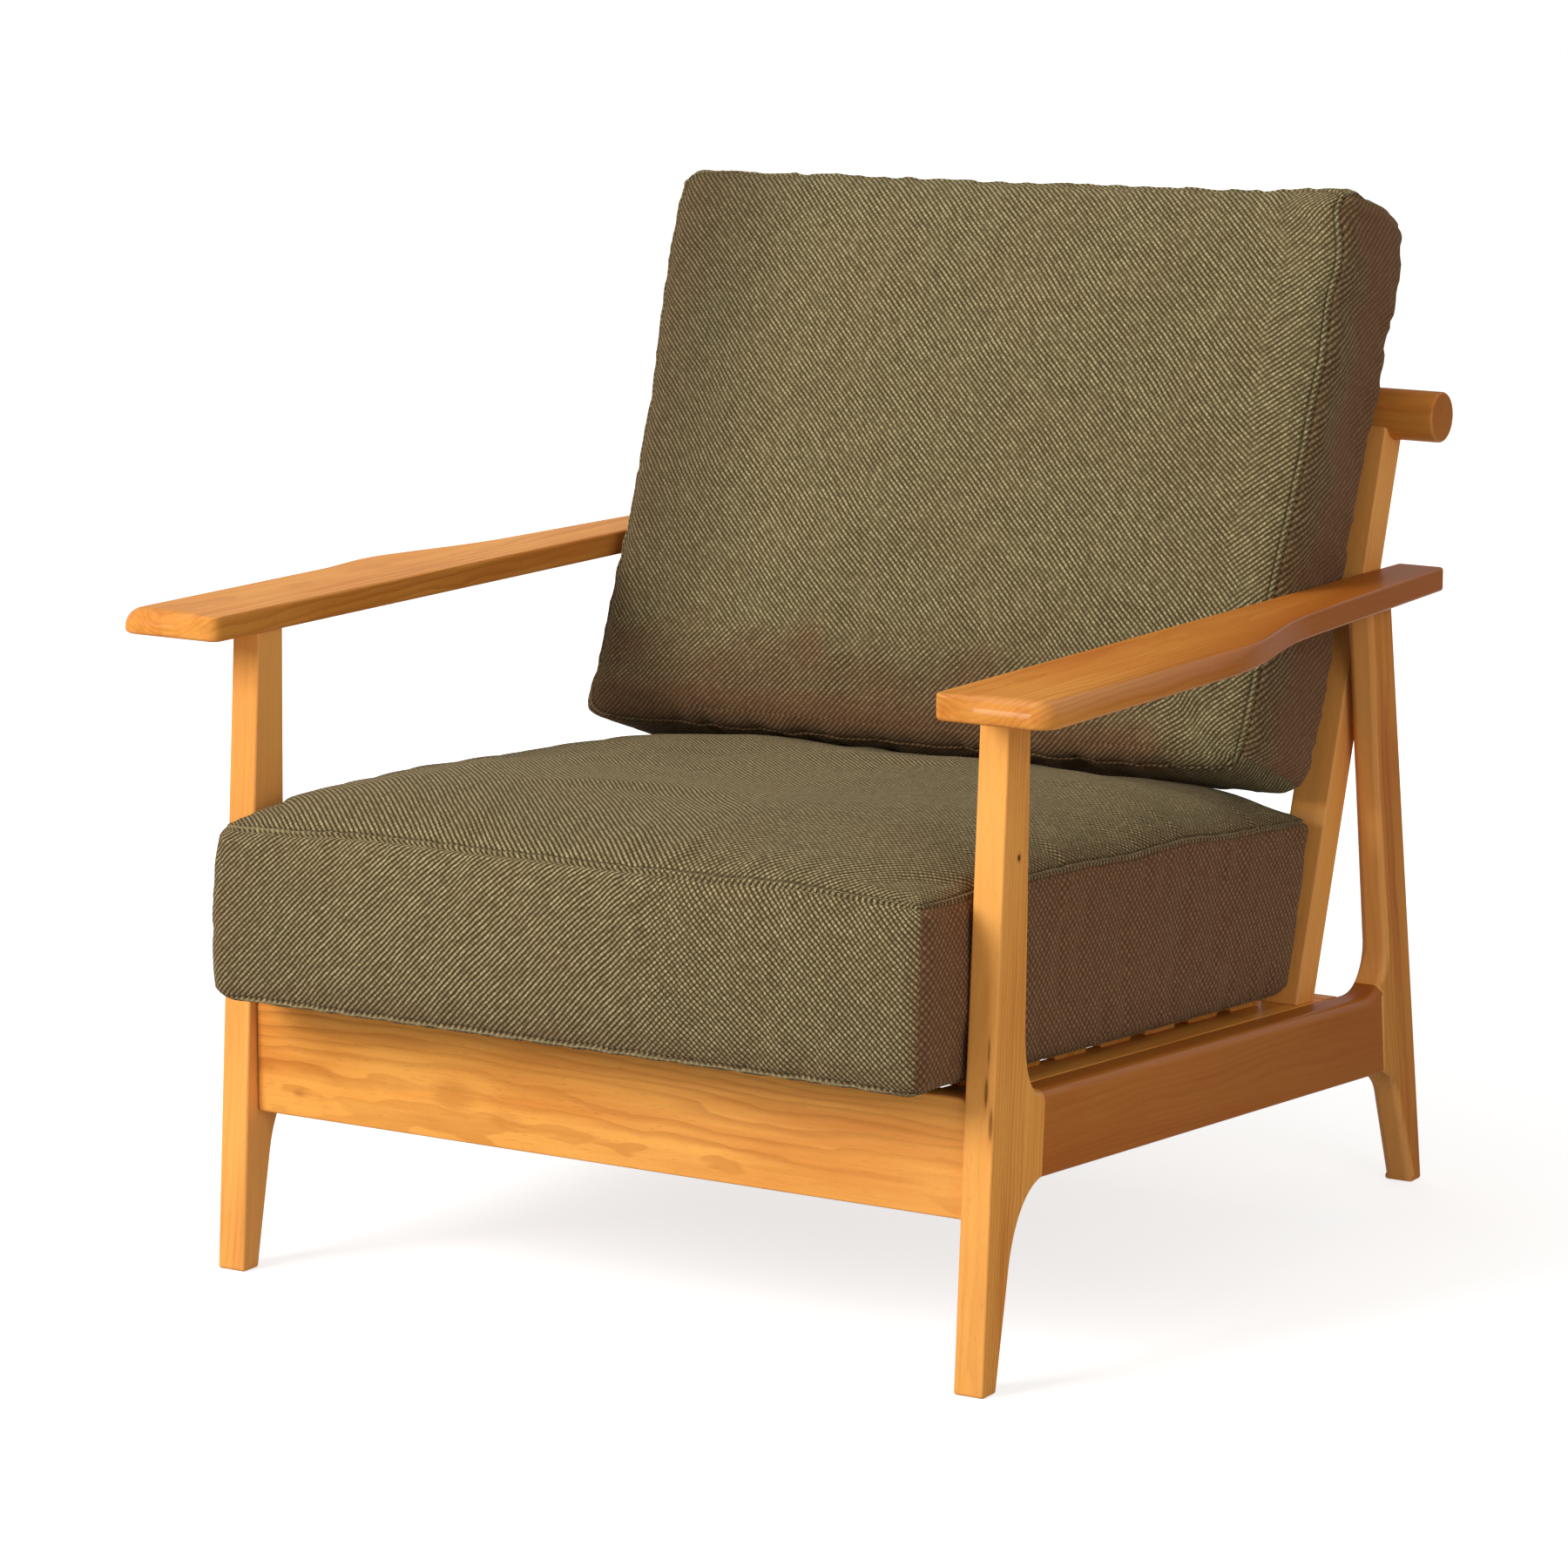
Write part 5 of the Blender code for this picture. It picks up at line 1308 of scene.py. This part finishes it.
def wood(name, along=None, board=0.0):
    """Honey-coloured lacquered wood; its grain follows an attribute or one axis of the CAD node."""
    material = bpy.data.materials.new(name)
    g = Graph(material)
    if along is None:
        a, c, d = g.split(g.attribute("grain", "Vector"))
        board = g.attribute("board")
    else:
        place = g.split(g.place())
        a = place["xyz".index(along)]
        c, d = [place[axis] for axis in range(3) if "xyz"[axis] != along]
    w = g.math("MULTIPLY", board, 7.31)
    grain = g.join(a, c, d)

    def stretched(along_scale, across_scale, **settings):
        return g.noise(grain, (along_scale, across_scale, across_scale), w, **settings)

    # Growth rings round a pith beside the board, bent by slow noise
    warp = (stretched(2.6, 11.0) - 0.5) * 0.050
    ripple = (stretched(16.0, 60.0) - 0.5) * 0.008
    c2 = c + g.math("SINE", w * 1.7) * 0.030 + warp
    d2 = d + 0.055 + ripple
    radius = g.math("SQRT", c2 * c2 + d2 * d2)
    turn = g.math("FRACT", radius * RINGS_PER_METRE + stretched(1.2, 30.0, detail=1.0) * 5.0)
    late = g.span(turn, 0.35, 0.92) * g.span(turn, 1.0, 0.93)
    rings = late * g.span(stretched(3.0, 25.0, detail=1.0), 0.3, 0.75, 0.15, 1.0)

    fibres = stretched(22.0, 620.0, detail=3.0, roughness=0.6)
    fleck = g.span(stretched(130.0, 1500.0, detail=1.0), 0.62, 0.74)
    flame = stretched(2.2, 34.0, detail=3.0, roughness=0.6)
    tone = stretched(5.5, 14.0) * 0.62 + stretched(4.0, 95.0) * 0.28 + fibres * 0.20
    colour = g.mix(g.span(tone, 0.36, 0.74), WOOD_BASE, WOOD_LIGHT)
    colour = g.mix(g.span(tone, 0.56, 0.28, 0.0, 0.42), colour, WOOD_DARK)
    colour = g.mix(g.span(flame, 0.48, 0.72, 0.0, 0.62), colour, WOOD_RED)
    colour = g.mix(rings * 0.44, colour, WOOD_DARK)
    colour = g.mix(fleck * 0.28, colour, WOOD_FLECK)

    gloss = WOOD_GLOSS
    if along is None:
        tone_and_painted_light = g.attribute("tone_and_painted_light")
        edge_gloss_and_shade = g.attribute("edge_gloss_and_shade")
        gloss = g.span(edge_gloss_and_shade, 0.2, 1.0, WOOD_GLOSS, EDGE_GLOSS)
        # painted light and shade, mixed with each board's own tone: darker towards WOOD_DARK above
        # 0, paler towards WOOD_PALE below 0
        colour = g.mix(tone_and_painted_light, colour, WOOD_DARK)
        colour = g.mix(g.math("MULTIPLY", tone_and_painted_light, -1.0, clamp=True), colour, WOOD_PALE)
        # painted shade: the edges' roundings a little darker and redder
        colour = g.mix(edge_gloss_and_shade * 0.10, colour, WOOD_RED)
        position = g.place()
        for centre, size, halo, core in KNOTS:
            far = g.length(g.vector("DIVIDE", g.vector("SUBTRACT", position, centre), size))
            ragged = far + (fibres - 0.5) * 0.8
            colour = g.mix(g.span(ragged, 2.2, 0.6, 0.0, halo), colour, WOOD_DARK)
            colour = g.mix(g.span(ragged, 1.1, 0.5, 0.0, core), colour, WOOD_KNOT)

    g.surface({"Base Color": colour, "Roughness": g.span(fibres, 0.2, 0.8, 0.34, 0.46),
               "Specular IOR Level": 0.01, "Coat Weight": gloss, "Coat Roughness": 0.11,
               "Normal": g.bump(fibres * 0.6 - (fleck + rings), 0.00006)})
    return material


FABRIC_LIGHT = (0.490, 0.412, 0.215, 1)
FABRIC_OLIVE = (0.086, 0.068, 0.029, 1)
FABRIC_BROWN = (0.225, 0.086, 0.042, 1)
FABRIC_GAP = (0.018, 0.011, 0.005, 1)
FABRIC_SHEEN = (0.8, 0.66, 0.40, 1)
PITCH = 0.0050
STITCH_PITCH = 0.0042


def fabric(name):
    """Coarse upholstery weave: light slanting floats over olive and brown yarn."""
    material = bpy.data.materials.new(name)
    g = Graph(material)
    weave = g.uv("weave")
    u, v, _ = g.split(weave)
    bow = g.split(g.noise(weave, 9.0, 1.0, detail=1.0, output="Color"))
    shake = g.split(g.noise(weave, 260.0, 2.0, detail=1.0, output="Color"))
    # tone is mostly painted shade: it browns the yarns and the light floats and narrows the floats
    tone = g.attribute("tone")
    cross = g.attribute("cross")
    painted_shade = g.attribute("painted_shade")

    # Two sets of threads across each other, s and t count them
    s = (u + v) / PITCH + (bow[0] - 0.5) * 1.6 + (shake[0] - 0.5) * 0.34
    t = (u - v) / PITCH + (bow[1] - 0.5) * 1.6 + (shake[1] - 0.5) * 0.34
    wave_s = g.math("COSINE", s * 2 * math.pi)
    wave_t = g.math("COSINE", t * 2 * math.pi)

    def floats(main, other):
        return g.span(main - tone * 0.30, -0.85, 0.75) * g.span(other, -1.0, 0.2, 0.50, 1.0)

    light = floats(wave_t, wave_s) * (1.0 - cross) + floats(wave_s, wave_t) * cross
    depth = g.span(g.noise(weave, 45.0, 6.0), 0.30, 0.62, 0.80, 1.0)
    depth = depth * g.span(tone, 0.55, 1.0, 1.0, 0.68)
    light = light * depth + (1.0 - depth) * 0.45
    light = light + g.attribute("crisp") * (g.span(light, 0.14, 0.72) - light)

    knot = g.join(g.math("ROUND", s), g.math("ROUND", t))
    chance = g.node("ShaderNodeTexWhiteNoise", {"Vector": knot}, "Value", noise_dimensions="2D")
    fuzz = g.noise(weave, 1500.0, 3.0)
    cloud = g.noise(weave, 14.0, 4.0, detail=3.0)
    yarn = g.noise(g.join(s, t), (0.35, 1.1, 1.0), 7.0, detail=1.0)

    browned = g.math("ADD", chance * 0.10, tone, clamp=True)
    yarns = g.mix(browned, FABRIC_OLIVE, FABRIC_BROWN)
    ground = g.mix(g.span(fuzz, 0.3, 0.7), FABRIC_GAP, yarns)
    bright = g.mix(chance * 0.45, FABRIC_LIGHT, FABRIC_OLIVE)
    bright = g.mix(g.span(yarn, 0.40, 0.72, 0.0, 0.40), bright, FABRIC_OLIVE)
    bright = g.mix(tone * 0.62, bright, FABRIC_BROWN)
    colour = g.mix(light, ground, bright)
    fluff = g.mix(tone, FABRIC_OLIVE, FABRIC_BROWN)
    colour = g.mix(g.span(fuzz, 0.35, 0.75, 0.0, 0.18), colour, fluff)
    colour = g.mix(g.span(cloud, 0.40, 0.75, 0.0, 0.08), colour, FABRIC_BROWN)

    # Painted highlight on the crest of the welted seams where the cover has painted shade, painted
    # shade along the sunken stitch line, and the stitches in it
    distance, run, _ = g.split(g.uv("edge"))
    beside = g.span(g.math("ABSOLUTE", distance - STITCH_LINE), 0.0009, 0.0004)
    stitch = beside * g.span(g.math("COSINE", run * (2 * math.pi / STITCH_PITCH)), -0.75, -0.35)
    crest = g.span(g.math("ABSOLUTE", distance - STITCH_LINE / 2), 0.0018, 0.0006)
    colour = g.mix(crest * g.span(painted_shade, 0.2, 0.5, 0.0, 0.50), colour, FABRIC_LIGHT)
    colour = g.mix(beside * 0.45, colour, FABRIC_GAP)
    colour = g.mix(stitch * 0.7, colour, FABRIC_OLIVE)

    height = light + fuzz * 0.35 + stitch * 0.6
    # painted shade darkens the colour towards FABRIC_GAP
    g.surface({"Base Color": g.mix(painted_shade * 0.42, colour, FABRIC_GAP), "Roughness": 0.92,
               "Specular IOR Level": 0.1, "Sheen Weight": 0.12, "Sheen Roughness": 0.5,
               "Sheen Tint": FABRIC_SHEEN, "Normal": g.bump(height, 0.0007)})
    return material


def steel(name):
    """Zinc-plated screw with fine turning marks."""
    material = bpy.data.materials.new(name)
    g = Graph(material)
    marks = g.noise(g.place(), (3000.0, 900.0, 900.0), 5.0)
    colour = g.mix(marks, (0.55, 0.55, 0.53, 1), (0.70, 0.70, 0.68, 1))
    g.surface({"Base Color": colour, "Metallic": 1.0,
               "Roughness": g.span(marks, 0.0, 1.0, 0.28, 0.42)})
    return material


honey_wood = wood("honey_wood_boards")
olive_fabric = fabric("olive_weave")
screw_steel = steel("screw_steel")

# How far the frame's origin lies behind the front toes
shift = bar_centre().y - (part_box("top_bar")[0].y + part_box("top_bar")[1].y) / 2

show_side_frames()
show_front_rail()
show_armrests()
show_posts()
show_bar()

# Carried-over CAD nodes: grain along x but for these
GRAIN_OF = {"seat_ledge": "y", "back_slat": "z"}
for index, name in enumerate(sorted(NODES)):
    if NODES[name].hide_render or name in ("seat_cushion", "back_cushion"):
        continue
    if name.startswith("ledge_screw"):
        material = screw_steel
    else:
        axes = [axis for start, axis in GRAIN_OF.items() if name.startswith(start)]
        material = wood("wood_" + name, axes[0] if axes else "x", 20 + 1.37 * index)
    for entry in NODES[name].material_slots:
        entry.material = material

seat_cover = cushion("seat_cushion_cover", "seat_cushion", "seat_pad", SEAT_FORM)
beside = [shown_boards[node] for node in ("top_bar", "armrest_left", "armrest_right")]
cushion("back_cushion_cover", "back_cushion", "back_pad", BACK_FORM, [seat_cover] + beside)


# Camera, floor and light

# Camera of the photograph
AZIMUTH = math.radians(31.1844)
ELEVATION = math.radians(10.9837)
LENS = 138.336
SENSOR = 36
CAMERA_TARGET = Vector((-0.02717, -0.014756, 0.361095))
CAMERA_DISTANCE = 4.75

FLOOR_REACH = 12
WHITE = (1, 1, 1, 1)

# Square soft lamps: name, place, target, size, power, colour
LAMPS = [("key_lamp", (-1.7, -3.4, 2.2), (0, 0, 0.35), 1.8, 155, (1.0, 0.98, 0.95)),
         ("fill_lamp", (3.4, -1.8, 1.6), (0, 0, 0.3), 2.0, 31, (1.0, 0.95, 0.88)),
         ("top_lamp", (-0.6, 0.2, 3.4), (0, 0, 0.4), 2.0, 22, (1, 1, 1))]


def look_along(item, way):
    """Turns a camera or lamp to look along a direction."""
    item.rotation_euler = Vector(way).to_track_quat("-Z", "Y").to_euler()


def add_camera():
    """Camera at the photograph's angle."""
    level = math.cos(ELEVATION)
    back = Vector((math.sin(AZIMUTH) * level, -math.cos(AZIMUTH) * level, math.sin(ELEVATION)))
    data = bpy.data.cameras.new("camera")
    data.lens = LENS
    data.sensor_width = SENSOR
    camera = add_object("camera", data)
    camera.location = CAMERA_TARGET + back * CAMERA_DISTANCE
    look_along(camera, -back)
    bpy.context.scene.camera = camera


def add_lamps():
    """Key light from the front left, fill from the right and a weak one from above."""
    for name, place, target, size, power, colour in LAMPS:
        data = bpy.data.lights.new(name, "AREA")
        data.size = size
        data.energy = power
        data.color = colour
        lamp = add_object(name, data)
        lamp.location = place
        look_along(lamp, Vector(target) - Vector(place))


def background_rays(g):
    """1 for rays that see the background: from the camera, from gloss and through glass."""
    path = g.nodes.new("ShaderNodeLightPath")
    camera, glossy, clear = [Wire(g, path.outputs[name])
                             for name in ("Is Camera Ray", "Is Glossy Ray", "Is Transmission Ray")]
    return g.math("MAXIMUM", g.math("MAXIMUM", camera, glossy), clear)


def add_floor():
    """White floor with the chair's soft shadow; further out it is as bright as the background."""
    mesh = bpy.data.meshes.new("floor")
    r = FLOOR_REACH
    mesh.from_pydata([(-r, -r, 0), (r, -r, 0), (r, r, 0), (-r, r, 0)], [], [(0, 1, 2, 3)])
    floor = add_object("floor", mesh)
    material = bpy.data.materials.new("floor_white")
    g = Graph(material)
    g.nodes.clear()
    fade = g.span(g.length(g.place()), 0.5, 2.2, 0.74, 1.0)
    matt = g.node("ShaderNodeBsdfDiffuse", {"Color": (0.50, 0.50, 0.50, 1)})
    glow = g.node("ShaderNodeEmission", {"Color": WHITE, "Strength": background_rays(g) * fade})
    both = g.node("ShaderNodeAddShader", {0: matt, 1: glow})
    g.node("ShaderNodeOutputMaterial", {"Surface": both})
    mesh.materials.append(material)


def set_world():
    """White background with a softer, even light behind it."""
    world = bpy.data.worlds.new("studio")
    bpy.context.scene.world = world
    g = Graph(world)
    g.nodes.clear()
    ambient = g.node("ShaderNodeBackground", {"Color": (1.0, 0.95, 0.88, 1), "Strength": 0.38})
    white = g.node("ShaderNodeBackground", {"Color": WHITE, "Strength": 1.0})
    pick = g.node("ShaderNodeMixShader", {0: background_rays(g), 1: ambient, 2: white})
    g.node("ShaderNodeOutputWorld", {"Surface": pick})


add_camera()
add_floor()
set_world()
add_lamps()
bpy.context.scene.view_settings.view_transform = "Standard"
